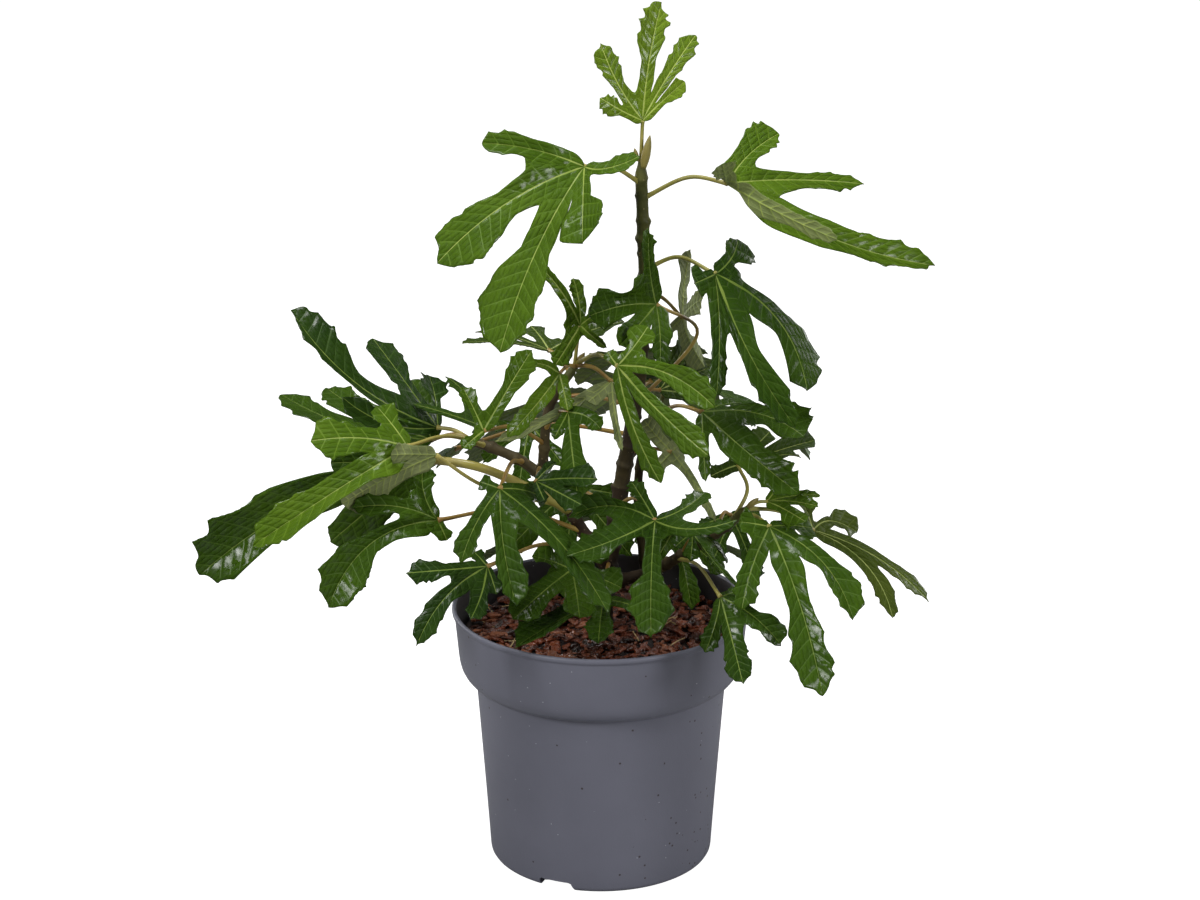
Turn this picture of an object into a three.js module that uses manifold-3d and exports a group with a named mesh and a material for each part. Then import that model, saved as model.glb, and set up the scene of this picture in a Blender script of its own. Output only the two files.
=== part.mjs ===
// A young fig tree in its nursery pot: a leader, a thin second stem, their boughs, and one
// thin solid for each large lobed leaf with its stalk.
// Millimetres, +Z up. The origin is the centre of the flat underside of the pot, and the side
// of the plant that is best furnished with leaves faces -Y.

import * as THREE from 'three';
import { mergeVertices } from 'three/addons/utils/BufferGeometryUtils.js';
import Module from 'manifold-3d';

const wasm = await Module();
wasm.setup();

// ---------------------------------------------------------------- driving dimensions

const CLEARANCE = 0.3;          // gap left between neighbouring pieces

const POT_HEIGHT = 186.5;
const RIM_RADIUS = 105;
const LIP_DEPTH = 4;            // height of the rolled lip round the rim
const COLLAR_HEIGHT = 51;       // from the shoulder under the collar up to the rim
const COLLAR_FOOT_RADIUS = 100.5;
const WAIST_RADIUS = 88.6;      // just under the collar
const FOOT_RADIUS = 79;
const FOOT_ROUNDING = 4;
const POT_WALL = 2;
const POT_SEGMENTS = 24;

const CENTRE_PAD_RADIUS = 30;   // flat middle of the underside
const CHANNEL_OUTER_RADIUS = 67;
const CHANNEL_HEIGHT = 5;
const DRAIN_COUNT = 6;
const DRAIN_RADIUS = 6;
const NOTCH_WIDTH = 30;         // openings through the foot ring
const NOTCH_HEIGHT = 6.5;
const NOTCH_BEARING = -112;     // degrees, of the first notch
const NOTCH_COUNT = 3;

const COMPOST_TOP = 157;
const MULCH_TOP = 168;
const MULCH_ROUGHNESS = 2.5;

const SMOOTHING = 0.14;         // the largest facet offset that a cut edge may lose
const LIMB_SIDES = 6;
const STALK_SIDES = 3;
const STALK_RINGS = 3;
const STALK_RADIUS = 1.7;
const BLADE_THICKNESS = 1.4;
const LOBE_BREADTH = 0.146;     // half breadth against the geometric mean of lobe and leaf length
const BAY_DEPTH = 0.31;         // how near the joint the bays between lobes reach
const LOBE_WAIST = 0.55;        // breadth of a lobe's lower part against its usual breadth
const LONG_LOBE = 120;          // lobes over this are measured at three stations, not two
const SHORT_LOBE = 72;          // lobes under this are measured at one
const LOBE_ARCH = 0.1;          // rise of a lobe's midrib above its chord, against its length

const COLOURS = {
  pot: 0x5b6270,
  compost: 0x2f211a,
  mulch: 0x6b3a28,
  bark: 0x4f4234,
  young: 0x97b02f,
  bright: 0x5f8a2a,
  deep: 0x2f5a26,
  olive: 0x7f8f62,
};

// ---------------------------------------------------------------- the limbs
// Each limb: its route from foot to tip, and its radius at both ends. A bough's foot lies
// on the middle line of the limb that carries it.

const LIMBS = {
  leader: {
    route: [[0, 2, COMPOST_TOP + CLEARANCE], [5, 5, 210], [15, 8, 276], [25, 11, 340],
      [30, 12, 412], [28, 9, 470], [27, 8, 503]],
    radii: [6.2, 3.9],
    rings: 14,
    flare: 3,
  },
  left_bough: {
    route: [[5, 5, 210], [-10, -3, 238], [-32, -11, 275], [-55, -13, 297], [-93, -9, 312]],
    radii: [4.6, 3.2],
    rings: 9,
    carrier: 'leader',
  },
  upright_shoot: {
    route: [[-40, -12, 284], [-39, -16, 310], [-34, -15, 340], [-16, -12, 367]],
    radii: [3.6, 3],
    rings: 7,
    carrier: 'left_bough',
  },
  right_bough: {
    route: [[4, 4, 200], [34, -5, 212], [62, -30, 238], [86, -48, 262], [101, -55, 279]],
    radii: [4.4, 2.8],
    rings: 9,
    carrier: 'leader',
  },
  second_stem: {
    route: [[36, 22, COMPOST_TOP + CLEARANCE], [31, 25, 205], [26, 25, 262], [31, 27, 300],
      [44, 34, 330]],
    radii: [4, 2.4],
    rings: 9,
    flare: 2,
  },
  back_bough: {
    route: [[12, 7, 252], [15, 34, 268], [24, 62, 290], [25, 84, 312]],
    radii: [4, 2.8],
    rings: 7,
    carrier: 'leader',
  },
};

// ---------------------------------------------------------------- the leaves
// joint: where stalk and blade meet. on: the limb, and how far along it (0 to 1) the stalk
// starts. bend: a point that the stalk passes, where it isn't a plain arch.
// lobes: each has its heading from +X and its rise above level, both in degrees, its length, its
// sideways sweep against its length, its breadth against the usual one, and how much broader it
// is towards the next lobe than towards the one before. Their order turns left seen from the
// upper side. waist: breadth of the lobes' lower parts. bays: how far from the joint each bay
// reaches. folds: degrees by which the two halves of a lobe turn up from its midrib.

const LEAVES = {
  crown: {
    joint: [28, 8, 531], on: ['leader', 1], tone: 'young', arch: 0.05, waist: 0.45,
    bays: [15, 20, 20, 19],
    lobes: [[-6, 44, 39, 0, 1.1], [19, 56, 67, 0.03, 0.72], [59, 72, 80, 0.06, 1, 0.22],
      [172, 61, 59, 0.12, 0.85], [-156, 30, 36, 0.07, 0.95]],
  },
  upper_left: {
    joint: [-11, -25, 507], on: ['leader', 0.955], tone: 'bright', waist: 0.52,
    bays: [42, 44, 33, 16],
    lobes: [[-176, 14, 70, -0.06, 0.75], [-150, -25, 122, -0.1, 0.92, 0.12],
      [-123, -46, 144, -0.04, 0.97, -0.08], [-91, -32, 70, 0.05, 1.4, -0.1],
      [-35, 16, 46, -0.31, 0.88]],
  },
  upper_right: {
    joint: [85, -10, 492], on: ['leader', 0.925], tone: 'bright', arch: -0.04, bend: [60, -4, 495],
    waist: 0.55, bays: [12, 30, 38, 30],
    folds: { 0: [-60, 60], 1: [70, -70], 2: [-35, 50], 3: [-20, 20] },
    lobes: [[-98, 30, 45, 0, 0.73], [-39, -15, 93, 0, 0.34], [0, -22, 152, -0.21, 0.5, 0.2],
      [25, -6, 106, 0.11, 0.36], [53, 21, 65, 0.13, 0.81, 0.2]],
  },
  right_shoulder: {
    joint: [77, -20, 432], on: ['leader', 0.78], tone: 'deep', bend: [52, 2, 438], waist: 0.62,
    bays: [18, 44, 36, 20],
    lobes: [[-134, -7, 21, 0, 1.7], [-90, -63, 83, 0.01, 0.48], [-45, -51, 118, -0.13, 0.86],
      [-23, -48, 100, 0.28, 1.2], [61, 27, 37, -0.16, 1.29, -0.3]],
  },
  centre_dark: {
    joint: [37, -35, 415], on: ['leader', 0.5], tone: 'deep', bend: [66, 0, 385], waist: 1.6,
    bays: [30, 22, 18],
    lobes: [[137, 82, 52, 0.15, 0.95, 0.3], [-150, -1, 52, -0.11, 1.98], [-126, -24, 46, 0, 1.6],
      [-85, -55, 43, 0, 1.3]],
  },
  left_high: {
    joint: [-113, 0, 317], on: ['left_bough', 0.97], tone: 'deep', waist: 0.34, bays: [16, 34, 10],
    lobes: [[100, 27, 52], [143, 43, 79, 0.11, 1.08], [174, 39, 129, 0.31, 0.62, -0.5],
      [-171, 21, 70, 0.3, 0.7]],
  },
  left_bright: {
    joint: [-130, -60, 323], on: ['left_bough', 0.9], tone: 'bright', waist: 0.62, bays: [24, 30],
    folds: { 1: [-5, 10], 2: [0, 60] },
    lobes: [[145, 42, 35, 0, 1.03], [-162, 9, 67, -0.09, 1.12], [-151, -24, 125, -0.02, 0.86]],
  },
  far_left: {
    joint: [-120, -35, 306], on: ['left_bough', 0.4], tone: 'deep', bend: [-82, -45, 303],
    waist: 0.9, bays: [30, 60],
    lobes: [[-175, -1, 64, 0, 0.95], [-168, -25, 172, -0.14, 1.05], [-165, -39, 86, 0, 1.25]],
  },
  left_low: {
    joint: [-110, -70, 274], on: ['left_bough', 0.25], tone: 'deep', waist: 0.6, bays: [26, 27, 12],
    lobes: [[116, 56, 40, 0.28, 1.12], [-166, 13, 60, -0.16, 0.79], [-147, -28, 96, -0.33, 1.19],
      [-39, -58, 15, 0, 1.1]],
  },
  front_centre: {
    joint: [36, -90, 281], on: ['leader', 0.29], tone: 'deep', waist: 0.6,
    bays: [18, 31, 17, 18, 20],
    lobes: [[129, 40, 33, 0, 0.97], [180, 2, 58, -0.29, 1.07], [-149, -10, 70, 0.12, 1.1],
      [-93, -45, 85, -0.02, 1.4], [-25, 9, 60, -0.3, 0.61], [17, 25, 39, -0.28, 1.25]],
  },
  front_right: {
    joint: [113, -80, 273], on: ['right_bough', 0.93], tone: 'deep', waist: 0.5,
    bays: [16, 19, 31, 18],
    lobes: [[174, 7, 21, 0, 1.26], [-119, -49, 61, -0.07, 0.76], [-68, -46, 124, 0.05, 0.78, -0.1],
      [-43, -33, 87, 0.22, 0.81, 0.1], [33, -13, 37, 0, 1.23]],
  },
  centre_bright: {
    joint: [11, -75, 384], on: ['upright_shoot', 1], tone: 'bright', waist: 0.5,
    bays: [17, 14, 22, 8],
    lobes: [[-55, -54, 84, -0.05, 0.65], [-48, -25, 96, -0.01, 0.74], [-39, -9, 82, 0.2, 0.92],
      [15, 51, 33, -0.1, 1.29], [143, 45, 12]],
  },
  front_left: {
    joint: [-67, -95, 305], on: ['left_bough', 0.72], tone: 'deep', waist: 0.52,
    bays: [9, 23, 30, 26],
    lobes: [[159, 12, 15, 0, 1.1], [-129, -46, 57, -0.09, 0.76], [-78, -47, 84, -0.08, 0.81, 0.15],
      [-32, -40, 110, 0.08, 0.66], [26, -21, 37, 0.11, 1.05]],
  },
  right_middle: {
    joint: [69, -25, 336], on: ['second_stem', 0.9], tone: 'deep', waist: 0.85, bays: [20, 36, 18],
    lobes: [[-87, -48, 52, 0, 0.45], [-43, -24, 95, -0.05, 1.01], [-27, -5, 76, 0.21, 1.64],
      [50, -6, 45, 0, 0.6]],
  },
  low_left: {
    joint: [-76, -100, 252], on: ['left_bough', 0.08], tone: 'deep', waist: 0.58,
    bays: [9, 28, 24, 12],
    lobes: [[151, 40, 13, 0, 1.2], [-159, 3, 57, 0.04, 0.98], [-132, -29, 77, -0.18, 0.76],
      [-109, -40, 41, 0.08, 1.05], [-58, -53, 20, 0, 1.2]],
  },
  low_right: {
    joint: [80, -100, 230], on: ['right_bough', 0.45], tone: 'deep', waist: 0.62,
    bays: [20, 28, 12],
    lobes: [[-118, -54, 39, 0.1, 1.02], [-71, -47, 63, 0, 1.05], [-32, -28, 53, 0.09, 1.38],
      [51, -6, 20]],
  },
  far_right: {
    joint: [146, -30, 252], on: ['right_bough', 0.98], tone: 'olive', waist: 0.5,
    bays: [50, 14, 10],
    lobes: [[-41, -34, 83, 0.26, 0.6], [-21, -26, 93, 0.12, 0.62], [32, -13, 39, 0.45, 1.6],
      [104, 21, 33, 0, 1.1]],
  },
  right_small: {
    joint: [113, -52, 278], on: ['right_bough', 1], tone: 'bright', waist: 0.75,
    lobes: [[-48, -8, 37, 0, 1.9], [-34, 6, 40, 0, 1.3], [-3, 8, 36], [57, 15, 29, 0, 1.7]],
  },
  low_inner_right: {
    joint: [62, -62, 262], on: ['right_bough', 0.5], tone: 'deep', waist: 0.6, bays: [8, 12, 20],
    lobes: [[-129, -14, 20, 0, 1.6], [-95, -24, 27, 0, 1.2], [-50, -30, 53, -0.25, 0.5],
      [11, -44, 34, 0.45, 0.9]],
  },
  right_behind: {
    joint: [94, -20, 296], on: ['right_bough', 0.86], tone: 'olive', bend: [100, -36, 284],
    waist: 0.85,
    lobes: [[34, -2, 51, 0, 1.41], [44, 0, 79, 0, 0.83], [52, 21, 41, 0, 1.2], [-152, -12, 22]],
  },
  heart_tall: {
    joint: [-14, -20, 396], on: ['upright_shoot', 0.96], tone: 'bright', waist: 0.8,
    lobes: [[-55, -15, 32, 0, 0.5], [-20, 38, 19, 0, 1.6], [108, 62, 33, -0.11, 0.88],
      [172, 54, 57, -0.09, 0.49], [-141, -48, 33, 0, 1.15]],
  },
  heart_behind: {
    joint: [-36, 25, 365], on: ['upright_shoot', 0.9], tone: 'olive',
    lobes: [[3, 21, 56, 0, 1.4], [109, 8, 43], [154, 6, 58], [-166, 9, 62]],
  },
  heart_glossy: {
    joint: [-28, -40, 368], on: ['upright_shoot', 0.97], tone: 'bright', waist: 0.7, bays: [9, 9],
    lobes: [[-143, 20, 35, -0.19, 0.5], [-127, -28, 64, 0.04, 0.75], [-79, -28, 35, 0, 0.75]],
  },
  heart_left: {
    joint: [-78, -75, 339], on: ['upright_shoot', 0.3], tone: 'bright',
    lobes: [[32, 53, 63], [134, 51, 33], [-133, -20, 22]],
  },
  heart_underside: {
    joint: [7, -45, 364], on: ['upright_shoot', 0.98], tone: 'olive', waist: 0.8,
    lobes: [[-64, -69, 47, 0, 0.35], [-136, -24, 24, 0, 0.9], [-168, -25, 88, -0.01, 0.5]],
  },
  centre_hanging: {
    joint: [-22, -66, 349], on: ['upright_shoot', 0.42], tone: 'deep', waist: 0.8,
    lobes: [[-122, -39, 23, 0, 0.7], [-80, -50, 63, 0, 1.25], [-35, -15, 28, 0.23, 1.1]],
  },
  centre_glossy: {
    joint: [-43, -85, 308], on: ['left_bough', 0.6], tone: 'deep', waist: 0.85,
    lobes: [[-68, -29, 18, 0, 1.2], [-45, -8, 43, 0, 1.35], [-32, 12, 49, 0, 1.3],
      [20, 40, 18, 0, 1.5]],
  },
  left_inner: {
    joint: [-87, 4, 314], on: ['left_bough', 0.95], tone: 'deep', waist: 0.8,
    lobes: [[122, 26, 53, -0.16, 0.9], [-172, 21, 49, 0.08, 0.6]],
  },
  left_back: {
    joint: [-119, 30, 298], on: ['left_bough', 0.93], tone: 'deep', waist: 0.8,
    lobes: [[109, 32, 57, 0, 0.9], [153, 17, 90, 0.19, 0.87], [172, 15, 111, 0.36, 1.06]],
  },
  left_underside: {
    joint: [-111, -66, 314], on: ['left_bough', 0.4], tone: 'olive', bend: [-80, -45, 290],
    waist: 0.9,
    lobes: [[-157, -21, 72, 0, 1.5], [-155, 8, 33, 0, 1.2]],
  },
  behind_pale: {
    joint: [56, 20, 390], on: ['leader', 0.74], tone: 'olive', waist: 0.9,
    lobes: [[79, 53, 51, 0.09, 1.5], [69, 4, 43, 0, 1.2], [61, -52, 56, 0, 1.5],
      [-142, -36, 20, 0, 1.2]],
  },
  behind_olive: {
    joint: [44, 20, 339], on: ['leader', 0.52], tone: 'olive', waist: 0.9,
    lobes: [[34, -18, 38, 0, 1.4], [46, 6, 50, 0, 1.3], [63, 31, 48, 0, 1.3]],
  },
  inner_pale: {
    joint: [49, 0, 299], on: ['leader', 0.4], tone: 'olive', waist: 0.9,
    lobes: [[59, 13, 35, 0, 1.2], [-33, -51, 57, -0.15, 0.45], [-140, -32, 18, 0, 1.2],
      [153, 43, 30, 0, 1.5]],
  },
  low_front: {
    joint: [2, -45, 207], on: ['leader', 0.17], tone: 'deep', waist: 0.7, bays: [24, 14],
    lobes: [[-137, -9, 83, 0.04, 0.95], [-94, -12, 54, 0, 1.1], [-40, 1, 39]],
  },
  low_shade: {
    joint: [-20, -45, 229], on: ['leader', 0.21], tone: 'deep', waist: 0.9, bays: [10, 26, 16, 14],
    lobes: [[-170, 23, 30, 0, 1.6], [-128, -15, 66, 0, 1.3], [-83, -21, 49, 0, 1.3],
      [-19, -14, 37, 0, 1.61], [27, 30, 28, 0, 1.92]],
  },
  back_high: {
    joint: [30, 64, 352], on: ['leader', 0.6], tone: 'deep',
    hand: { heading: 88, dip: -34, roll: -6, reach: 92 },
  },
  back_right: {
    joint: [80, 74, 318], on: ['second_stem', 1], tone: 'deep',
    hand: { heading: 38, dip: -38, roll: 8, reach: 104 },
  },
  back_right_low: {
    joint: [52, 52, 222], on: ['second_stem', 0.3], tone: 'deep',
    hand: { heading: -70, dip: -52, roll: 0, reach: 60 },
  },
  back_middle: {
    joint: [36, 118, 318], on: ['back_bough', 0.97], tone: 'deep',
    hand: { heading: 80, dip: -44, roll: 6, reach: 108 },
  },
  back_left: {
    joint: [-52, 104, 300], on: ['back_bough', 0.93], tone: 'deep',
    hand: { heading: 122, dip: -40, roll: -8, reach: 106 },
  },
  back_left_low: {
    joint: [-50, 40, 306], on: ['upright_shoot', 0.4], tone: 'deep',
    hand: { heading: -100, dip: -40, roll: 0, reach: 54 },
  },
  back_far_left: {
    joint: [-104, 52, 284], on: ['back_bough', 0.7], tone: 'deep',
    hand: { heading: 168, dip: -34, roll: 10, reach: 100 },
  },
  back_far_right: {
    joint: [92, 36, 240], on: ['right_bough', 0.75], tone: 'deep',
    hand: { heading: -58, dip: -50, roll: 0, reach: 54 },
  },
  back_low: {
    joint: [-20, 66, 250], on: ['leader', 0.25], tone: 'deep',
    hand: { heading: -96, dip: -50, roll: 0, reach: 84 },
  },
  back_rim_left: {
    joint: [-34, 78, 214], on: ['leader', 0.16], tone: 'deep',
    hand: { heading: 125, dip: -30, roll: -6, reach: 80 },
  },
  back_rim_right: {
    joint: [52, 80, 214], on: ['second_stem', 0.3], tone: 'deep',
    hand: { heading: 55, dip: -30, roll: 6, reach: 80 },
  },
};

// ---------------------------------------------------------------- solids

function solidOf(geometry) {
  const bare = geometry.clone();
  bare.deleteAttribute('normal');
  bare.deleteAttribute('uv');
  const merged = mergeVertices(bare, 1e-3);
  const vertProperties = Float32Array.from(merged.attributes.position.array);
  const triVerts = Uint32Array.from(merged.index.array);
  return new wasm.Manifold(new wasm.Mesh({ numProp: 3, vertProperties, triVerts }));
}

function geometryOf(solid) {
  const { vertProperties, triVerts } = solid.getMesh();
  const geometry = new THREE.BufferGeometry();
  geometry.setAttribute('position', new THREE.BufferAttribute(vertProperties, 3));
  geometry.setIndex(new THREE.BufferAttribute(triVerts, 1));
  geometry.computeVertexNormals();
  return geometry;
}

function largestPieceOf(solid) {
  const pieces = solid.decompose();
  return pieces.reduce((best, piece) => (piece.volume() > best.volume() ? piece : best));
}

function direction(heading, rise) {
  const h = THREE.MathUtils.degToRad(heading);
  const r = THREE.MathUtils.degToRad(rise);
  return new THREE.Vector3(Math.cos(h) * Math.cos(r), Math.sin(h) * Math.cos(r), Math.sin(r));
}

// A closed round tube along a curve, its radius given by a function of the share run.
function taperedTube(curve, radiusAt, rings, sides) {
  const frames = curve.computeFrenetFrames(rings, false);
  const positions = [];
  const index = [];
  for (let ring = 0; ring <= rings; ring += 1) {
    const centre = curve.getPointAt(ring / rings);
    const radius = radiusAt(ring / rings);
    for (let side = 0; side < sides; side += 1) {
      const turn = (side / sides) * 2 * Math.PI;
      const point = centre.clone();
      point.addScaledVector(frames.normals[ring], radius * Math.cos(turn));
      point.addScaledVector(frames.binormals[ring], radius * Math.sin(turn));
      positions.push(point.x, point.y, point.z);
    }
  }
  for (let ring = 0; ring < rings; ring += 1) {
    for (let side = 0; side < sides; side += 1) {
      const a = ring * sides + side;
      const b = ring * sides + ((side + 1) % sides);
      index.push(a, b, b + sides, a, b + sides, a + sides);
    }
  }
  const lastRing = rings * sides;
  for (let side = 1; side < sides - 1; side += 1) {
    index.push(0, side + 1, side);
    index.push(lastRing, lastRing + side, lastRing + side + 1);
  }
  const geometry = new THREE.BufferGeometry();
  geometry.setAttribute('position', new THREE.Float32BufferAttribute(positions, 3));
  geometry.setIndex(index);
  return geometry;
}

// ---------------------------------------------------------------- pot, compost and mulch

function potSolid() {
  const outer = [
    [0, 0],
    [CENTRE_PAD_RADIUS, 0],
    [CENTRE_PAD_RADIUS + 3, CHANNEL_HEIGHT],
    [CHANNEL_OUTER_RADIUS, CHANNEL_HEIGHT],
    [CHANNEL_OUTER_RADIUS + 3, 0],
    [FOOT_RADIUS - FOOT_ROUNDING, 0],
    [FOOT_RADIUS, FOOT_ROUNDING],
    [WAIST_RADIUS, POT_HEIGHT - COLLAR_HEIGHT],
    [COLLAR_FOOT_RADIUS - 5, POT_HEIGHT - COLLAR_HEIGHT + 4],
    [COLLAR_FOOT_RADIUS, POT_HEIGHT - COLLAR_HEIGHT + 14],
    [RIM_RADIUS - 1.5, POT_HEIGHT - LIP_DEPTH],
    [RIM_RADIUS, POT_HEIGHT - LIP_DEPTH + 1],
    [RIM_RADIUS, POT_HEIGHT],
  ];
  const inner = [
    [RIM_RADIUS - POT_WALL - 2, POT_HEIGHT],
    [COLLAR_FOOT_RADIUS - POT_WALL - 1, POT_HEIGHT - COLLAR_HEIGHT + 14],
    [WAIST_RADIUS - POT_WALL, POT_HEIGHT - COLLAR_HEIGHT],
    [FOOT_RADIUS - POT_WALL, CHANNEL_HEIGHT + POT_WALL],
    [0, CHANNEL_HEIGHT + POT_WALL],
  ];
  const profile = [...outer, ...inner].map(([r, z]) => new THREE.Vector2(r, z));
  const lathe = new THREE.LatheGeometry(profile, POT_SEGMENTS);
  lathe.rotateX(Math.PI / 2);
  let pot = solidOf(lathe);
  const drain = new THREE.CylinderGeometry(DRAIN_RADIUS, DRAIN_RADIUS, 30, 10);
  drain.rotateX(Math.PI / 2);
  drain.translate((CENTRE_PAD_RADIUS + CHANNEL_OUTER_RADIUS) / 2, 0, 0);
  for (let i = 0; i < DRAIN_COUNT; i += 1) {
    const hole = drain.clone().rotateZ((i / DRAIN_COUNT) * 2 * Math.PI);
    pot = pot.subtract(solidOf(hole));
  }
  const notch = new THREE.BoxGeometry(18, NOTCH_WIDTH, 2 * NOTCH_HEIGHT);
  notch.translate(CHANNEL_OUTER_RADIUS + 10, 0, 0);
  notch.rotateZ(THREE.MathUtils.degToRad(NOTCH_BEARING));
  for (let i = 0; i < NOTCH_COUNT; i += 1) {
    const opening = notch.clone().rotateZ((i / NOTCH_COUNT) * 2 * Math.PI);
    pot = pot.subtract(solidOf(opening));
  }
  return pot;
}

function compostSolid() {
  const bottom = CHANNEL_HEIGHT + POT_WALL + CLEARANCE;
  const waist = POT_HEIGHT - COLLAR_HEIGHT;
  const gap = POT_WALL + CLEARANCE;
  const profile = [
    [0, bottom],
    [FOOT_RADIUS - gap, bottom],
    [WAIST_RADIUS - gap - 0.1, waist],
    [COLLAR_FOOT_RADIUS - gap - 1.2, waist + 14],
    [COLLAR_FOOT_RADIUS - gap - 1, COMPOST_TOP],
    [0, COMPOST_TOP],
  ].map(([r, z]) => new THREE.Vector2(r, z));
  const lathe = new THREE.LatheGeometry(profile, POT_SEGMENTS);
  return solidOf(lathe.rotateX(Math.PI / 2));
}

// A layer of bark chips: a low disc whose upper face rolls up and down.
function mulchSolid() {
  const foot = COMPOST_TOP + CLEARANCE;
  const edge = COLLAR_FOOT_RADIUS - POT_WALL - CLEARANCE - 1.5;
  const rings = [
    [0, foot],
    [edge, foot],
    [edge, MULCH_TOP],
    [0.6 * edge, MULCH_TOP],
    [0, MULCH_TOP],
  ].map(([r, z]) => new THREE.Vector2(r, z));
  const lathe = new THREE.LatheGeometry(rings, POT_SEGMENTS).rotateX(Math.PI / 2);
  const position = lathe.attributes.position;
  for (let i = 0; i < position.count; i += 1) {
    const x = position.getX(i);
    const y = position.getY(i);
    const z = position.getZ(i);
    const roll = Math.sin(0.11 * x + 1) * Math.cos(0.13 * y) + 0.4 * Math.sin(0.23 * (x - y));
    if (z > foot + 1) position.setZ(i, z + MULCH_ROUGHNESS * roll);
  }
  return solidOf(lathe);
}

// ---------------------------------------------------------------- limbs

function limbCurve(limb) {
  return new THREE.CatmullRomCurve3(limb.route.map((p) => new THREE.Vector3(...p)));
}

// grow is added all round, for the shape that clears a neighbour.
function limbSolid(limb, grow = 0) {
  const [footRadius, tipRadius] = limb.radii;
  const flare = limb.flare ?? 0;
  const radiusAt = (share) => THREE.MathUtils.lerp(footRadius, tipRadius, share)
    + flare * Math.max(0, 1 - share / 0.1) ** 2 + grow;
  const tube = solidOf(taperedTube(limb.curve, radiusAt, limb.rings, LIMB_SIDES));
  return limb.carrier ? tube : tube.trimByPlane([0, 0, 1], COMPOST_TOP + CLEARANCE);
}

// ---------------------------------------------------------------- leaves

// The five lobes of an open hand, worked out from where it points and how far it reaches.
function handLobes({ heading, dip, roll, reach }) {
  const along = direction(heading, dip);
  const level = new THREE.Vector3(0, 0, 1).cross(along).normalize();
  const up = along.clone().cross(level).applyAxisAngle(along, THREE.MathUtils.degToRad(roll));
  const spread = [[-84, 0.5], [-42, 0.82], [0, 1], [42, 0.8], [84, 0.48]];
  return spread.map(([angle, share]) => {
    const lobe = along.clone().applyAxisAngle(up, THREE.MathUtils.degToRad(angle));
    lobe.addScaledVector(up, -0.1 * Math.abs(angle / 84)).normalize();
    return { along: lobe, length: reach * share, sweep: 0, breadth: 1, skew: 0 };
  });
}

function givenLobes(list) {
  return list.map(([heading, rise, length, sweep = 0, breadth = 1, skew = 0]) => (
    { along: direction(heading, rise), length, sweep, breadth, skew }));
}

// Gives each lobe its midrib curve, its upper side and its half breadth.
function shapedLobes(leaf) {
  const joint = new THREE.Vector3(...leaf.joint);
  const lobes = leaf.hand ? handLobes(leaf.hand) : givenLobes(leaf.lobes);
  const longest = Math.max(...lobes.map((lobe) => lobe.length));
  const folds = lobes.slice(1).map((lobe, i) => lobes[i].along.clone().cross(lobe.along));
  const face = folds.reduce((sum, fold) => sum.add(fold), new THREE.Vector3()).normalize();
  lobes.forEach((lobe, i) => {
    const local = new THREE.Vector3();
    if (i > 0) local.add(folds[i - 1]);
    if (i < folds.length) local.add(folds[i]);
    local.normalize().addScaledVector(face, 0.6);
    lobe.up = local.addScaledVector(lobe.along, -local.dot(lobe.along)).normalize();
    lobe.side = lobe.up.clone().cross(lobe.along);
    lobe.half = LOBE_BREADTH * Math.sqrt(lobe.length * longest);
    lobe.waist = Math.min(leaf.waist ?? LOBE_WAIST, 0.95 * lobe.breadth);
    lobe.folds = (leaf.folds?.[i] ?? [10, 10]).map(THREE.MathUtils.degToRad);
    const tip = joint.clone().addScaledVector(lobe.along, lobe.length);
    const middle = joint.clone().lerp(tip, 0.5);
    middle.addScaledVector(lobe.up, (leaf.arch ?? LOBE_ARCH) * lobe.length);
    middle.addScaledVector(lobe.side, lobe.sweep * lobe.length);
    lobe.midrib = new THREE.QuadraticBezierCurve3(joint, middle, tip);
  });
  return { joint, face, lobes, bays: leaf.bays ?? [] };
}

// Where a blade is measured across: share of the lobe's length, and of its half breadth.
function stationsOf({ length, waist, breadth }) {
  if (length > LONG_LOBE) return [[0.38, waist], [0.64, 0.86 * breadth], [0.87, 0.92 * breadth]];
  if (length > SHORT_LOBE) return [[0.45, 0.2 * breadth + 0.8 * waist], [0.82, 0.95 * breadth]];
  return [[0.7, 0.6 * breadth + 0.35 * waist]];
}

// The point of a lobe's blade at a share of its length and a distance to one side, where that
// half of the blade is turned up by the angle fold.
function bladePoint(lobe, share, offset, fold = 0) {
  const point = lobe.midrib.getPoint(share);
  const tangent = lobe.midrib.getTangent(share);
  const up = lobe.up.clone().addScaledVector(tangent, -lobe.up.dot(tangent)).normalize();
  point.addScaledVector(up.clone().cross(tangent), offset * Math.cos(fold));
  point.addScaledVector(up, Math.abs(offset) * Math.sin(fold));
  return { point, up: up.applyAxisAngle(tangent, Math.sign(offset) * fold) };
}

function bayPoint(lobe, next, given) {
  const half = lobe.along.angleTo(next.along) / 2;
  const natural = BAY_DEPTH * Math.sqrt(lobe.length * next.length);
  const roomy = (Math.min(lobe.waist, next.waist) * (lobe.half + next.half)) / 2 / Math.sin(half);
  const deepest = 0.58 * Math.min(lobe.length, next.length);
  const firstStation = Math.min(...[lobe, next].map((one) => stationsOf(one)[0][0] * one.length));
  const wanted = given ?? Math.min(Math.max(natural, roomy), deepest);
  const reach = Math.min(wanted, 0.95 * firstStation);
  const near = bladePoint(lobe, (reach * Math.cos(half)) / lobe.length, reach * Math.sin(half));
  const far = bladePoint(next, (reach * Math.cos(half)) / next.length, -reach * Math.sin(half));
  return {
    point: near.point.lerp(far.point, 0.5),
    up: near.up.add(far.up).normalize(),
  };
}

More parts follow.
